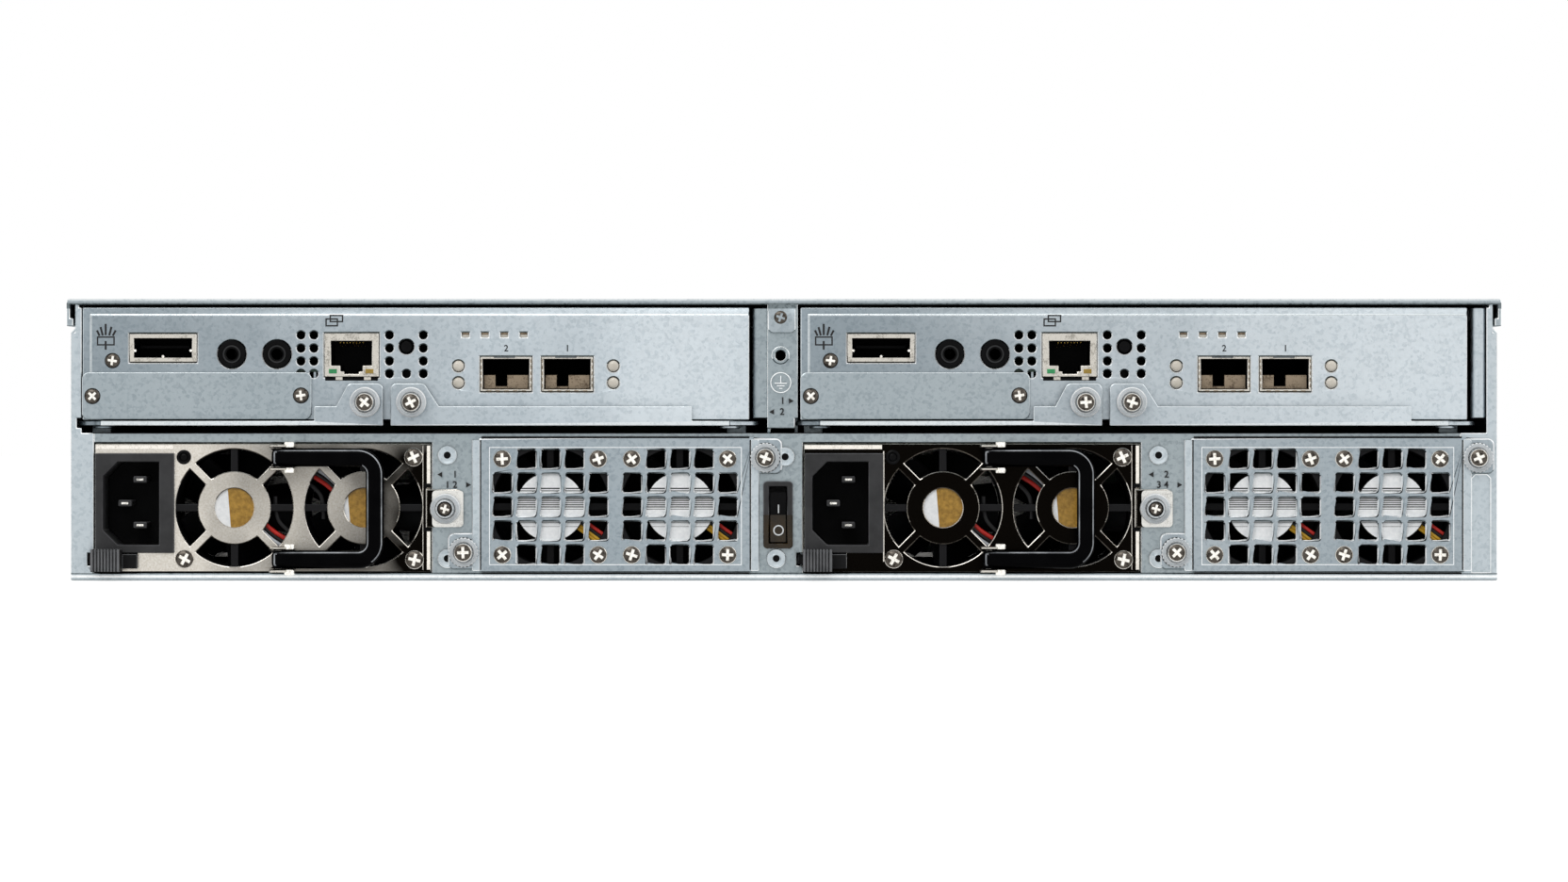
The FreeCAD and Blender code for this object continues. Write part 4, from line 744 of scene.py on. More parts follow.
# sheet metal, plastic and boards: one dressed copy of each solid, with finishes for its face,
# its broken edge (a painted highlight where brighter) and the edge that looks down (a painted
# shade where darker), then the broken edge's width and steps
blowers = ("psu1", "psu2", "fan1", "fan2")
solids = [
    ("zincCover", "edgeHighlight", "foldShade", 0.2, 1, ["top_cover"]),
    ("zincFront", "edgeHighlight", "foldShade", 0.2, 1, ["chassis_tray"]),
    ("zincFrame", "edgeHighlight", "foldShade", 0.2, 1, ["rear_frame"]),
    ("zincPlate", "plateEdge", "foldShade", 0.16, 1, [f"ctrl{n}_blank_plate" for n in pairs]),
    ("zincTray", "rimHighlight", "foldShade", 0.4, 1, [f"fan{n}_tray" for n in pairs]),
    ("nickelSheet", "nickelHighlight", "plateShade", 0.24, 1, [f"psu{n}_front" for n in pairs]),
    ("tinCage", "nickelHighlight", "plateShade", 0.12, 1, [f"psu{n}_case" for n in pairs]),
    ("brightNickel", "nickelHighlight", "plateShade", 0.2, 1, [f"ctrl{n}_port_shells" for n in pairs]),
    ("blackPbt", "pbtHighlight", "blackPbt", 0.25, 1, ["psu1_inlet", "psu2_inlet", "power_switch"]),
    ("fanPlastic", "fanEdge", "fanPlastic", 0.2, 1, [f"{unit}_fan_frames" for unit in blowers]),
    ("jackPlastic", "jackPlastic", "jackPlastic", 0.25, 2,
     ["ctrl1_button", "ctrl2_button", "power_rocker"]),
    ("grip", "gripHighlight", "grip", 0.14, 1, [f"psu{n}_latch" for n in pairs]),
    ("handleEnamel", "handleEnamel", "handleEnamel", 1.7, 6, [f"psu{n}_handle" for n in pairs]),
    ("zincSheet", "edgeHighlight", "foldShade", 0.15, 1, ["drive_cage", "rack_ears"]),
    ("maskedBoard", "maskedBoard", "maskedBoard", 0, 1, ["midplane", "ctrl1_board", "ctrl2_board"]),
    ("fanPlastic", "fanPlastic", "fanPlastic", 0, 1,
     [f"{unit}_rotor_{side}" for unit in blowers for side in "ab"]),
    ("driveAlloy", "driveAlloy", "foldShade", 0.2, 1, [f"drive_{n:02d}" for n in range(1, 13)]),
]
for n in pairs:
    solids += [(f"zincCtrl{n}", "rimHighlight", "foldShade", 0.28, 1, [f"ctrl{n}_panel"]),
               (f"zincCtrl{n}", "plateEdge", "foldShade", 0.18, 1,
                [f"ctrl{n}_{p}" for p in ("tray", "lever_left", "lever_right")])]
dressed = {}
for face, edge, under, width, segments, members in solids:
    for member in members:
        softened = cellEdges(member[:4]) if member in ("fan1_tray", "fan2_tray") else None
        dressed[member] = dress(member, face, edge, under, width, segments, hiddenFaces(member),
                                softened)
print("solids dressed:", len(dressed))


def paint(node, finish, test):
    # tints a dressed solid by its node's name
    tint(dressed[node], finish, test)


def litAndShadedBands(piece, bands):
    # level bands of painted highlight and painted shade across a rolled or folded edge: (foot, top,
    # finish) in mm
    levels = sorted({level for foot, top, finish in bands for level in (foot, top)})
    sliced(piece, [((0, 0, level * mm), (0, 0, 1)) for level in levels])
    for foot, top, finish in bands:
        tint(piece, finish, lambda c, normal: foot < c.z < top and c.y < units["frame"].y + 3
             and normal.y < -0.3)


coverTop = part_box("top_cover")[1].z / mm
# the cover's rear edge: a painted highlight along its top and painted shade below; the hem: painted
# shade at its top and foot and a painted highlight across its middle
litAndShadedBands(dressed["top_cover"], [(coverTop - 0.5, coverTop, "plateEdge"),
                              (coverTop - 3, coverTop - 1.2, "foldShade")])
litAndShadedBands(dressed["chassis_tray"], [(-0.5, 0.25, "foldShade"), (0.9, 1.6, "edgeHighlight"),
                                 (1.9, 2.25, "foldShade")])

# controllers: a painted highlight on the slopes of the panel's top and left edges, black
# plastic for what stands on the boards (sockets, plugs and chips), and a painted highlight
# on a lever's flat foot, which is seen by its edge
leverFoot = {"front": -3.6, "back": 1.5, "thick": 1.5}
boardLook = {"thick": 1.6, "main": 9.1, "daughter": 16.9, "midplane": (57.2, 59.7)}
for n in pairs:
    zero = units[f"ctrl{n}"]
    panelFoot = corner(f"ctrl{n}_panel").z
    # painted highlight on the sloping faces along the panel's top and left side
    paint(f"ctrl{n}_panel", "plateEdge", lambda c, normal: -0.95 < normal.y < -0.2
         and (c.z > panelFoot + 30.4 or c.x < zero.x + 4))
    feet = [zero.z + boardLook[name] for name in ("main", "daughter")]
    paint(f"ctrl{n}_board", "jackPlastic", lambda c, normal: not any(
        -0.05 < c.z - foot < boardLook["thick"] + 0.05 for foot in feet))
    for side in ("left", "right"):
        top = corner(f"ctrl{n}_lever_{side}").z + leverFoot["thick"]
        # painted highlight on the lever's flat foot
        paint(f"ctrl{n}_lever_{side}", "plateEdge", lambda c, normal: c.z < top
             and normal.y < -0.3 and leverFoot["front"] < c.y - zero.y < leverFoot["back"])
paint("midplane", "jackPlastic", lambda c, normal: not (
    boardLook["midplane"][0] < c.y < boardLook["midplane"][1]))

# screws: pan heads with a cross recess, made once at ten millimetres' radius, with a painted
# dark reflection on the face, a painted highlight in the recess, and one round the pan heads' rim
screwLook = {"sides": 32, "slotWide": 3.3, "slotLong": 13, "slotDeep": 3.4,
             "steps": [(10, 0), (10, 1.6), (9.4, 2.3), (8, 3.1), (5.6, 3.9), (2.6, 4.3)]}
panHead = turned("panHead", screwLook["sides"], screwLook["steps"])
for turn in (0, 90):
    cutter = slab("cutter", (-screwLook["slotLong"] / 2 * mm, -8 * mm, -screwLook["slotWide"] / 2 * mm),
                  (screwLook["slotLong"] / 2 * mm, (screwLook["slotDeep"] - 4.3) * mm,
                   screwLook["slotWide"] / 2 * mm))
    cutter.rotation_euler = (0, math.radians(turn), 0)
    useModifier(panHead, "BOOLEAN", object=cutter, operation="DIFFERENCE", solver="EXACT")
    bpy.data.objects.remove(cutter)
# painted dark reflection on the head's face
coat(panHead, "screwDarkReflection")
# painted highlight in the cross recess
tint(panHead, "brightMetalAndHighlight", lambda c, normal: max(abs(c.x), abs(c.z)) < 6.6
     and min(abs(c.x), abs(c.z)) < 1.75 and c.y > -4.0)
shadeByAngle(panHead, 25)
sunkHead = copyTo(panHead, "sunkHead", "chassis", (0, 0, 0))
# painted highlight round the rim of the pan heads
tint(panHead, "nickelHighlight", lambda c, normal: math.hypot(c.x, c.z) > 9.2)
# painted shade: a dark dish round each sunk head stands for the gap in its countersunk hole
sinkShade = turned("sinkShade", 32, [(10, 0), (10.9, 0.02), (10.9, 0.3)])
coat(sinkShade, "darkHollow")

screws = [("ctrl", 9.3, 20.3, 2.2, 0.0), ("ctrl", 3.2, 9.3, 2.3, -1.2),
          ("ctrl", 67.8, 9.5, 2.3, -1.2), ("psu", 28.2, 4.3, 2.9, 0.0),
          ("psu", 99.1, 35.9, 2.9, 0.0), ("psu", 99.4, 4.1, 2.9, 0.0)]
sideways = (-trayLook["screw"], trayLook["screw"])
screws += [("fan", u + a, trayLook["middle"] + b, 2.75, 0.0)
           for u in trayLook["fans"] for a in sideways for b in sideways]
for n in pairs:
    for count, (kind, u, w, radius, seat) in enumerate(screws):
        unit = f"{kind}{n}"
        head = sunkHead if kind == "ctrl" else panHead
        place = on(unit, u, w, seat + 0.02)
        copyTo(head, f"screw_{unit}_{count}", bodies[unit], place, radius / 10, 8 + count * 37 % 90)
        if kind == "ctrl":
            copyTo(sinkShade, f"sinkShade_{unit}_{count}", bodies[unit], place, radius / 10)
place = on("frame", -1.07, 81.5, -0.02)
copyTo(sunkHead, "screw_column", "chassis", place, 0.215, 20)
copyTo(sinkShade, "sink_column", "chassis", place, 0.215)

# captive thumbscrews: a clear collar that the fingers turn, a satin head in its dish; the
# collar's sloping faces carry a painted highlight, the small head's hollow painted shade
thumbLook = {"collar": [(4.65, 0), (4.7, 0.3), (4.7, 2.4), (4.35, 2.9), (3.55, 2.95), (3.15, 2.5),
                        (3.1, 0.8)],
             "head": [(3.0, 0.6), (3.0, 3.6), (2.75, 3.95), (1.0, 4.0)],
             "small": [(3.0, 0.6), (3.0, 5.0), (2.8, 5.5), (2.35, 5.6), (2.3, 4.9)],
             "knurlStep": 7.5, "knurlDepth": 0.93}
collar = turned("collar", 48, thumbLook["collar"])
coat(collar, "milkyRing")
# painted highlight on the collar's sloping faces
tint(collar, "milkyHighlight", lambda c, normal: -0.98 < normal.y < -0.3)
knurled = copyTo(collar, "knurled", "chassis", (0, 0, 0))
openPiece(knurled)
pickEdges(lambda a, b: a.y > -2.6 and b.y > -2.6 and math.hypot(a.x, a.z) > 4.6
          and abs(math.atan2(a.z, a.x) - math.atan2(b.z, b.x)) < 0.01
          and round(math.degrees(math.atan2(a.z, a.x)) / thumbLook["knurlStep"]) % 2 == 0)
bpy.ops.transform.resize(value=(thumbLook["knurlDepth"], 1, thumbLook["knurlDepth"]),
                         center_override=(0, 0, 0))
closePiece()
satinHead = turned("satinHead", 40, thumbLook["head"])
coat(satinHead, "satinSteel")
smallHead = turned("smallHead", 40, thumbLook["small"])
coat(smallHead, "satinSteel")
# painted shade in the small head's hollow
tint(smallHead, "darkHollow", lambda c, normal: c.y > -5.58 and math.hypot(c.x, c.z) < 2.32)
for piece in (collar, satinHead, smallHead):
    shadeByAngle(piece, 35)
for count, (unit, body, sheet, u, w, seat) in enumerate(thumbSpots):
    place = on(unit, u, w, seat)
    name = f"thumb_{sheet}_{count}"
    ring = knurled if unit.startswith("fan") else collar
    copyTo(ring, name + "_collar", body, place)
    if unit.startswith("psu"):
        head, rise, size, turn = smallHead, 4.85, 0.21, 15
    else:
        head, rise, size, turn = satinHead, 3.88, 0.27, 40 + count * 23
    copyTo(head, name + "_head", body, place)
    copyTo(panHead, name + "_cross", body, place - Vector((0, rise * mm, 0)), size, turn)
print("screws placed:", 2 * len(screws) + 1 + len(thumbSpots))
for master in (panHead, sunkHead, sinkShade, collar, knurled, satinHead, smallHead):
    bpy.data.objects.remove(master)


def hubLabel(name, sides, radius, at, cuts):
    # a thin disc on a fan's hub, sliced where its colours meet
    label = turned(name, sides, [(radius, 0), (radius - 0.1, 0.06)], at)
    sliced(label, cuts)
    return label


# power supplies: bright pins, lamp, guards' labels, wires and the folded lips of the case, with
# painted highlights and painted shade
psuLook = {"pins": ((14.2, 28.95), (9.5, 21.6), (14.2, 14.8)), "fans": (43.5, 83.6), "middle": 20.2,
           "labelR": 8.6, "wire": 1.4, "arms": (4.3, 35.8), "notches": (13.5, 27.1),
           "lamp": [(2.2, 0), (2.25, 0.35), (1.8, 0.55), (1.45, 0.45), (1.2, 0.05), (0.8, 0.25),
                    (0.3, 0.35)],
           "beside": ((8.6, 4.2), (11.2, 6.9), (15.0, 9.2), (18.4, 11.4)),
           "behind": ((12.6, -3.5), (12.4, 1.0), (14.2, 5.6), (18.3, 8.3)),
           "leads": (("redWire", 0, 0.0, "beside"), ("blackWire", 2, 1.5, "beside"),
                     ("whiteWire", 3, 2.9, "beside"), ("blackWire", 1, 0.0, "behind")),
           "lips": ((0.5, 38.3, 24.6, 39.7), (24.9, 3.5, 25.3, 37.8), (101.9, 1.0, 102.1, 39.5),
                     (103.2, 1.0, 104.3, 13.1), (103.2, 26.4, 104.3, 39.5))}
middle = psuLook["middle"]
for n in pairs:
    unit, body = f"psu{n}", bodies[f"psu{n}"]
    for count, (u, w) in enumerate(psuLook["pins"]):
        block(f"psu{n}_pin_{count}", unit, "brightMetalAndHighlight", (u - 1.2, w - 0.45, u + 1.2, w + 0.45),
              (0.9, 2.6), round=0.2, edge=0.15)
    # painted shade inside the inlet's socket
    paint(f"psu{n}_inlet", "darkHollow", within(unit, 3.1, 20.3, 8.8, 34.3, 13.5, 17.5))
    paint(f"psu{n}_front", "brightNickel", within(unit, 54, 61, 0, 41, -12, -0.2))
    block(f"psu{n}_tabFace", unit, "tinCage", (104.9, 14.2, 114.6, 25.6), (-1.66, -1.5),
          round=1.2, edge=0.06)
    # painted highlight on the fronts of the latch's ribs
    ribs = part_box(f"psu{n}_latch")[0].y / mm
    paint(f"psu{n}_latch", "gripHighlight", lambda c, normal: c.y < ribs + 0.2 and normal.y < -0.9)
    handle = dressed[f"psu{n}_handle"]
    # painted highlight lines along the handle's rounded edges, on the strips that face up, left and
    # right
    tint(handle, "enamelHighlight", lambda c, normal: -0.92 < normal.y < -0.74
         and (normal.z > 0.3 or normal.x < -0.3))
    tint(handle, "enamelHighlight", lambda c, normal: -0.92 < normal.y < -0.74 and normal.x > 0.35)
    for count, arm in enumerate(psuLook["arms"]):
        for shift in (-3.9, 3.9):
            block(f"psu{n}_clip_{count}_{shift:.0f}", unit, "brightMetalAndHighlight",
                  (59.6, arm + shift - 0.9, 62.6, arm + shift + 0.9), (-7.4, -0.1), round=0.4, edge=0.2)
    lens = turned(f"psu{n}_lamp", 24, psuLook["lamp"], on(unit, 27.9, 35.9, -0.02))
    settle(lens, body, "jackPlastic")
    for side, u in zip("ab", psuLook["fans"]):
        # label on the still hub: white paper beside gold film, both bare
        split = u - 1.6 if side == "a" else u - 4.6
        label = hubLabel(f"psu{n}_label_{side}", 40, psuLook["labelR"],
                         on(unit, u, middle, corner(f"psu{n}_fan_frames").y - units[unit].y),
                         [(on(unit, split, middle), (1, 0, 0.08))])
        coat(label, "hubGold")
        tint(label, "hubWhite", lambda c, normal: c.x < units[unit].x + split)
        settle(label, body, smooth=0)
        # three leads from the hub to the tunnel's edge, beside the strut, and one behind it
        way, drop = (1, -1) if side == "a" else (-1, 1)
        for finish, mark, shift, route in psuLook["leads"]:
            points = [on(unit, u + way * a, middle + drop * b + shift * drop, 2.6)
                      for a, b in psuLook[route]]
            lead = stroke(f"psu{n}_lead_{side}_{finish}_{mark}", points, psuLook["wire"], curved=True)
            settle(lead, body, finish)
    # the case's folded lips, in a painted highlight: over the inlet, down the left and down the right,
    # with two notches drawn as dark blocks of painted shade
    for count, span in enumerate(psuLook["lips"]):
        block(f"psu{n}_lip_{count}", unit, "nickelHighlight", span, (-0.14, 0.02), edge=0.06)
    for count, w in enumerate(psuLook["notches"]):
        block(f"psu{n}_notch_{count}", unit, "darkHollow", (102.4, w - 0.65, 104.4, w + 0.65),
              (-0.2, 0.0), edge=0.05)
print("power supplies detailed")

# fan trays: hub labels, leads, the tabs' flanges with a painted highlight, dark blocks of painted
# shade in the gaps round each sheet, and painted shade in the tunnels
middle = trayLook["middle"]
for n in pairs:
    unit, body = f"fan{n}", bodies[f"fan{n}"]
    hubs = [inUnit(unit, u, middle) for u in trayLook["fans"]]
    for side, u in zip("ab", trayLook["fans"]):
        cuts = [(on(unit, u, middle + w), (0, 0, 1)) for bar in trayLook["bars"] for w in bar]
        label = hubLabel(f"fan{n}_label_{side}", 48, trayLook["labelR"], on(unit, u, middle, 1.17),
                         cuts)
        coat(label, "hubWhite")
        tint(label, "ink", lambda c, normal: any(foot < c.z - hubs[0].z < top
                                                 for foot, top in trayLook["bars"]))
        settle(label, body, smooth=0)
        for finish, shift in (("redWire", 1.6), ("blackWire", 0.2), ("yellowWire", -1.0),
                              ("yellowWire", -2.2)):
            points = [on(unit, u + a, middle + b + shift, 2.6)
                      for a, b in ((8.2, -4.2), (11.0, -6.2), (14.4, -8.8), (17.6, -11.0))]
            lead = stroke(f"fan{n}_lead_{side}_{finish}_{abs(shift):.0f}", points, trayLook["wire"],
                          curved=True)
            settle(lead, body, finish)
    for side, left, right, seam in (("left", -3.4, -0.9, (-1.0, -0.55)),
                                    ("right", 82.9, 85.5, (82.55, 83.0))):
        flange = slab(f"fan{n}_flange_{side}", on(unit, left, 0.7, -0.18), on(unit, right, 41.4, 1.1),
                      round=0.5, edge=0.2)
        coat(flange, "zincFront")
        # painted highlight on the flange's sloping edges
        tint(flange, "edgeHighlight", lambda c, normal: -0.95 < normal.y < -0.3)
        settle(flange, body)
        # painted shade: a dark block in the gap beside the sheet
        block(f"fan{n}_seam_{side}", unit, "darkHollow", (seam[0], 1.0, seam[1], 41.2),
              (-0.05, 0.1), edge=0.02)
    # painted shade: dark blocks in the gaps over and under the sheet
    for name, foot, top in (("top", 41.75, 42.3), ("foot", -0.35, 0.1)):
        block(f"fan{n}_seam_{name}", unit, "darkHollow", (-0.5, foot, 82.5, top), (-0.04, 0.2),
              edge=0.02)
    # painted shade on the fan frames round the tunnels, near the front
    paint(f"fan{n}_fan_frames", "darkHollow", lambda c, normal: c.y < units[unit].y + 5.5
         and any(apart(c, hub) < 18.5 for hub in hubs))
    # painted highlight along the pressed line
    frameLine = [on(unit, u, w, 0.0) for u, w in ((2.0, 2.6), (2.0, 38.9), (80.0, 38.9), (80.0, 2.6))]
    settle(stroke(f"fan{n}_pressedLine", frameLine, 0.35, 0.3, closed=True), body, "edgeHighlight")
print("fan trays detailed")

# controllers: what sits in the sockets, lamps, jacks and plain marks
portLook = {"ink": 0.64, "contacts": 8, "fingers": 5, "cages": (123.3, 142.3), "jacks": (46.3, 60.3),
            "jackLevel": 22.3, "pipes": [(u, w) for u in (116.5, 164.5) for w in (13.4, 18.6)],
            "jackSteps": [(4.3, -0.3), (4.3, 0.3), (4.05, 0.6), (3.5, 0.65), (3.0, 0.5), (2.75, 0.75),
                          (2.3, 0.8), (1.75, 0.35), (1.75, -0.3)],
            "domeSteps": [(1.6, 0), (1.6, 0.25), (1.35, 0.5), (0.8, 0.68), (0.3, 0.72)],
            "rays": (((4.5, 29.7), (5.3, 28.0)), ((5.6, 30.7), (6.3, 28.1)),
                     ((7.2, 31.7), (7.2, 28.2)), ((9.0, 30.8), (8.3, 28.1)),
                     ((10.3, 29.7), (9.4, 28.0)), ((7.2, 26.4), (7.2, 23.7))),
            "rooms": (("jackPlastic", (41, 66, 17.6, 28, -2, 14.5)),
                      ("milkyPipe", (114, 119, 11, 21, -2, 12)),
                      ("milkyPipe", (162, 167, 11, 21, -2, 12)),
                      ("darkHollow", (14, 36, 19, 29, -2, 18))),
            "signs": ((4.7, 25.2, 9.8, 27.6), (75.5, 31.1, 79.0, 33.2), (76.8, 32.4, 80.6, 34.3))}
for n in pairs:
    unit, body = f"ctrl{n}", bodies[f"ctrl{n}"]
    mouths = [(16.0, 34.0, 21.2, 27.2), (77.0, 89.8, 16.1, 26.4)]
    mouths += [(left + 0.7, left + 15.2, 11.4, 20.8) for left in portLook["cages"]]
    # painted shade inside the mouths of the sockets and cages
    for mouth in mouths:
        paint(f"ctrl{n}_port_shells", "darkHollow", within(unit, *mouth, -0.3))
    # the last room is painted shade inside the wide socket
    for finish, room in portLook["rooms"]:
        paint(f"ctrl{n}_board", finish, within(unit, *room))
    for side, u in zip("ab", portLook["jacks"]):
        # round black jack: a broad collar, a chamfer with a painted highlight, and the mouth
        axis = inUnit(unit, u, portLook["jackLevel"])
        jack = hoop(f"ctrl{n}_jack_{side}", 40, portLook["jackSteps"], axis * mm)
        coat(jack, "jackPlastic")
        # painted highlight on the chamfer
        tint(jack, "jackRingHighlight", lambda c, normal: 2.25 < apart(c, axis) < 2.8)
        settle(jack, body)
    for count, (u, w) in enumerate(portLook["pipes"]):
        dome = turned(f"ctrl{n}_pipe_{count}", 24, portLook["domeSteps"], on(unit, u, w))
        settle(dome, body, "milkyPipe", smooth=60)
    for count in range(4):
        u = 118.7 + 6 * count
        block(f"ctrl{n}_window_{count}", unit, "milkyPipe", (u - 1.15, 27.5, u + 1.15, 28.35),
              (1.0, 1.9), edge=0.1)
        # painted shade in the upper part of each lamp window
        block(f"ctrl{n}_windowShade_{count}", unit, "cageShade", (u - 1.15, 28.35, u + 1.15, 29.1),
              (1.0, 1.9), edge=0.1)
    # network jack: gold contacts under its roof, two lamps, the slot below drawn as a dark block
    # of painted shade, with two feet
    contacts = [stroke("contact", [on(unit, 79.9 + k, 25.9, 1.2), on(unit, 79.9 + k, 24.7, 7.5)], 0.35)
                for k in range(portLook["contacts"])]
    settle(joined(f"ctrl{n}_contacts", contacts), body, "goldContact")
    for left, finish in ((76.4, "greenLens"), (87.7, "amberLens")):
        block(f"ctrl{n}_{finish}", unit, finish, (left, 16.3, left + 2.5, 17.7), (-0.62, -0.4),
              edge=0.12)
    # painted shade: a dark block for the slot
    block(f"ctrl{n}_slot", unit, "darkHollow", (75.2, 14.1, 91.6, 15.1), (-0.06, 0.05), round=0.2)
    for count, left in enumerate((78.4, 87.2)):
        block(f"ctrl{n}_foot_{count}", unit, "brightNickel", (left, 14.2, left + 2.2, 15.4),
              (-0.3, 0.0), edge=0.1)
    # mini-SAS: three dimples in the lip
    for count, (u, w) in enumerate(((16.4, 23.4), (25.0, 21.6), (33.6, 23.4))):
        dimple = turned(f"ctrl{n}_dimple_{count}", 12, [(0.45, 0), (0.4, 0.1), (0.15, 0.14)],
                        on(unit, u, w, -0.5))
        settle(dimple, body, "brightMetalAndHighlight")
    for side, left in zip("ab", portLook["cages"]):
        # optical cage: spring fingers round its mouth, a tab above it, floor plates inside, the fingers
        # and floor plates in the cage's painted shade
        fingers = []
        for k in range(portLook["fingers"]):
            w = 12.0 + k * 1.9
            for a, b, wide, tall in ((left + 0.12, w, 0.3, 1.1), (left + 15.5, w, 0.3, 1.1),
                                     (left + 2.0 + k * 2.7, 10.8, 1.4, 0.3)):
                near, far = on(unit, a, b, -0.62), on(unit, a + wide, b + tall, -0.45)
                fingers.append(slab("finger", near, far, edge=0.05))
        settle(joined(f"ctrl{n}_fingers_{side}", fingers), body, "cageShade")
        block(f"ctrl{n}_cageTab_{side}", unit, "darkEdge", (left + 4.2, 21.15, left + 10.8, 21.6),
              (-0.7, -0.45), edge=0.1)
        for count, (a, b, top) in enumerate(((1.0, 4.6, 15.9), (8.2, 14.8, 15.9), (4.6, 8.2, 12.4))):
            block(f"ctrl{n}_floor_{side}_{count}", unit, "cageShade", (left + a, 11.6, left + b, top),
                  (2.5, 3.0), edge=0.1)
    # plain marks in black ink: figures over the optical cages, two signs over the sockets
    marks = [lettered(f"ctrl{n}_figure_{k}", text, 2.0, on(unit, u, 23.2, -0.02))
             for k, (text, u) in enumerate((("2", 131.3), ("1", 150.3)))]
    marks += [stroke("ray", [on(unit, *a), on(unit, *b)], portLook["ink"], 0.12)
              for a, b in portLook["rays"]]
    for left, foot, right, top in portLook["signs"]:
        outline = [on(unit, u, w) for u, w in ((left, foot), (right, foot), (right, top), (left, top))]
        marks.append(stroke("outline", outline, portLook["ink"], 0.12, closed=True))
    settle(joined(f"ctrl{n}_marks", marks), body, "ink", smooth=0)
print("controllers detailed")

# rear frame: dimples, pressed earth sign, arrows with figures, and the strip beside the right tray;
# the dimples' rims, the sign and the strip's edge are painted highlight, the dimples' pits painted
# shade
frameLook = {"dimples": ((-104.3, 38.8), (-104.3, 6.8), (0.35, 38.3), (-2.4, 6.8),
                         (116.0, 38.8), (116.0, 6.8)),
             "dimpleSteps": [(2.95, 0), (2.8, 0.16), (2.5, 0.16), (2.2, 0.03), (1.5, 0.02),
                             (1.35, 0.12), (1.1, 0.12), (0.85, -0.4)],
             "line": 0.3, "figure": 2.1, "earth": (-1.0, 61.3, 3.1),
             "earthBars": (((0, 2.1), (0, -0.2)), ((-1.9, -0.2), (1.9, -0.2)),
                           ((-1.2, -1.0), (1.2, -1.0)), ((-0.5, -1.8), (0.5, -1.8))),
             "strip": ((213.0, 2.4), (213.0, 31.6), (214.1, 32.8), (217.8, 32.8), (218.9, 31.6),
                       (218.9, 2.4))}
for count, (x, z) in enumerate(frameLook["dimples"]):
    dimple = turned(f"frame_dimple_{count}", 36, frameLook["dimpleSteps"], on("frame", x, z, -0.4))
    coat(dimple, "zincFront")
    axis = Vector((x, 0, z))
    # painted highlight round the dimple's rim
    tint(dimple, "edgeHighlight", lambda c, normal: apart(c, axis) > 2.7)
    # painted shade in the dimple's pit
    tint(dimple, "darkHollow", lambda c, normal: apart(c, axis) < 1.05)
    settle(dimple, "chassis")


def around(x, z, radius, step):
    # places round a circle: (across, up)
    return [(x + radius * math.cos(math.radians(a)), z + radius * math.sin(math.radians(a)))
            for a in range(0, 360, step)]


x, z, r = frameLook["earth"]
earth = [stroke("ring", [on("frame", u, w) for u, w in around(x, z, r, 12)], frameLook["line"], 0.4,
                closed=True)]
for a, b in frameLook["earthBars"]:
    earth.append(stroke("bar", [on("frame", x + a[0], z + a[1]), on("frame", x + b[0], z + b[1])],
                        frameLook["line"], 0.4))
# painted highlight along the pressed sign
settle(joined("frame_earthSign", earth), "chassis", "edgeHighlight")


def arrow(x, z, way):
    # a small solid triangle: a three-sided disc turned to point left or right
    at = on("frame", x, z)
    piece = turned("arrow", 3, [(1.0, 0), (1.0, 0.02)], at)
    openWhole(piece)
    bpy.ops.transform.rotate(value=math.radians(-90 * way), orient_axis="Y", center_override=at)
    closePiece()
    return piece


def figure(text, x, foot):
    return lettered("figure", text, frameLook["figure"], on("frame", x, foot, -0.01))


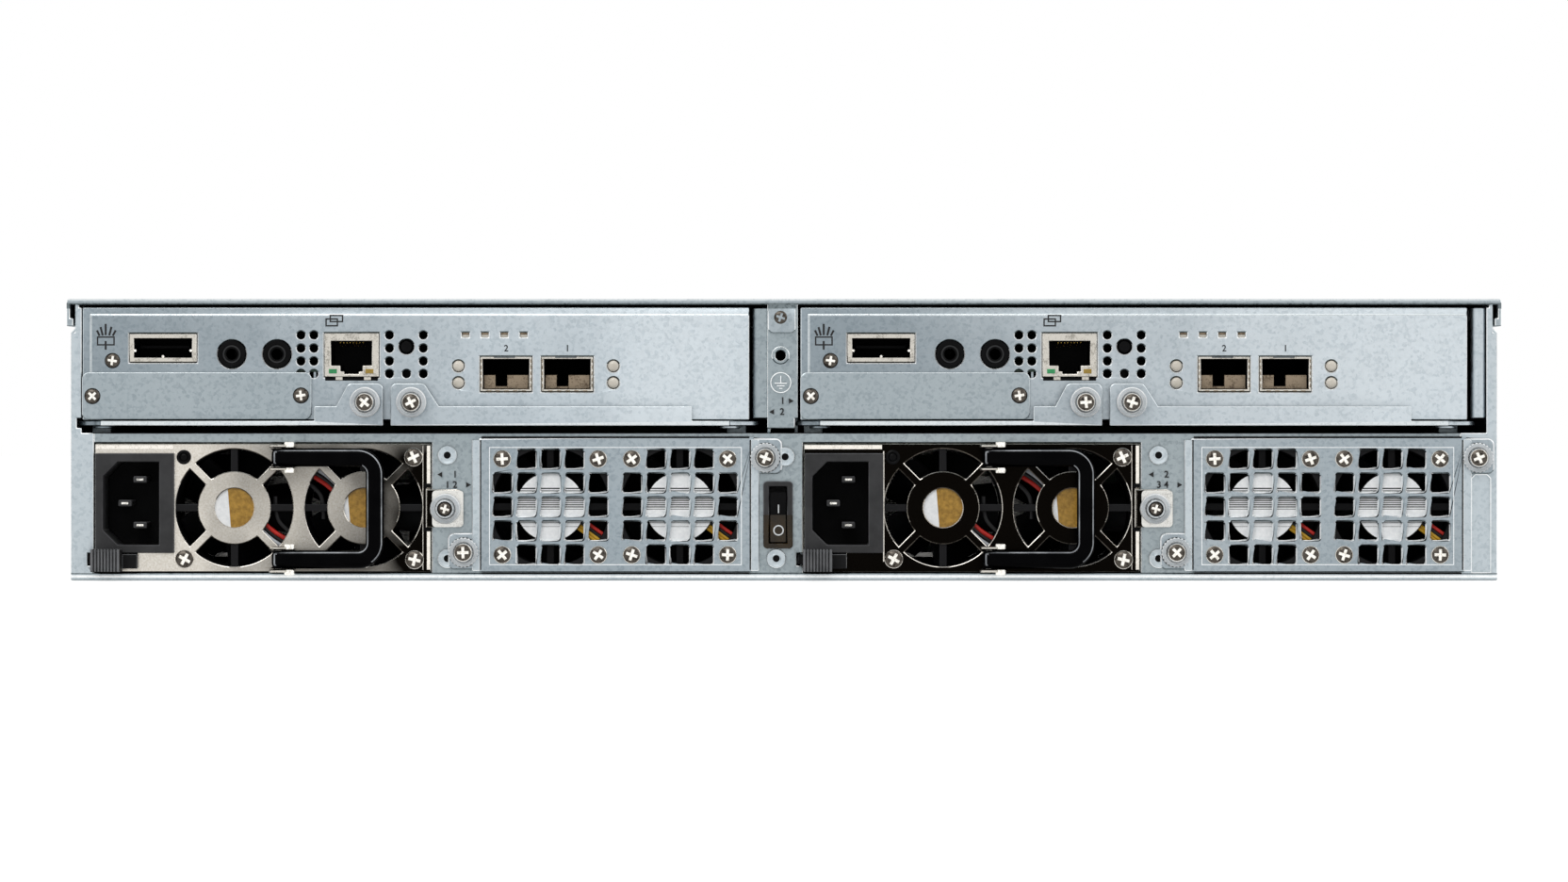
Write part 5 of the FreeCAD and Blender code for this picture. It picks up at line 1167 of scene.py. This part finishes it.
frameMarks = [arrow(2.0, 55.6, 1), figure("1", -0.4, 54.7), arrow(-3.6, 52.2, -1),
              figure("2", -0.6, 51.3)]
for x, first, second in ((-102.3, "1", "1 2"), (118.1, "2", "3 4")):
    frameMarks += [figure(first, x + 0.4, 31.9), figure(second, x - 0.8, 28.7),
                   arrow(x - 4.1, 32.8, -1), arrow(x + 4.3, 29.6, 1)]
settle(joined("frame_marks", frameMarks), "chassis", "ink", smooth=0)
strip = [on("frame", x, z) for x, z in frameLook["strip"]]
# painted highlight along the strip's raised edge
settle(stroke("frame_stripLine", strip, 0.35, 0.4, closed=True), "chassis", "edgeHighlight")

# rocker: a white bar and ring, and amber film over its lower half and the rim round it
rockerLook = {"middle": -1.7, "filmTop": 20.3, "bar": (20.9, 23.5), "ring": (15.5, 1.45)}
rocker = dressed["power_rocker"]


def onRocker(x, z):
    # a place on the rocker's rear skin, in metres
    found, place, normal, index = rocker.ray_cast((x * mm, -0.3, z * mm), (0, 1, 0))
    return place - Vector((0, 0.03 * mm, 0))


for piece in (dressed["power_switch"], rocker):
    sliced(piece, [((0, 0, rockerLook["filmTop"] * mm), (0, 0, 1))])
    tint(piece, "filmedBlack", lambda c, normal: c.z < rockerLook["filmTop"])
bar = stroke("rocker_bar", [onRocker(rockerLook["middle"], z) for z in rockerLook["bar"]], 0.4)
circle = around(rockerLook["middle"], *rockerLook["ring"], 15)
ring = stroke("rocker_ring", [onRocker(x, z) for x, z in circle], 0.42, closed=True)
settle(joined("rocker_marks", [bar, ring]), "rocker", "whiteInk")

# a dark sheet on the drive side of the midplane, over its two rows of air windows: painted shade
# that stands for the dark inside of the box
shadeSheetLook = {"front": 59.65, "thick": 0.9, "side": 214, "levels": (29.9, 57.8), "half": 4.0}
for count, level in enumerate(shadeSheetLook["levels"]):
    side, front, half = shadeSheetLook["side"], shadeSheetLook["front"], shadeSheetLook["half"]
    shadeSheet = slab(f"midplane_shadeSheet_{count}", (-side * mm, front * mm, (level - half) * mm),
                (side * mm, (front + shadeSheetLook["thick"]) * mm, (level + half) * mm))
    settle(shadeSheet, "chassis", "innerShadeSheet")
print("frame and switch detailed")
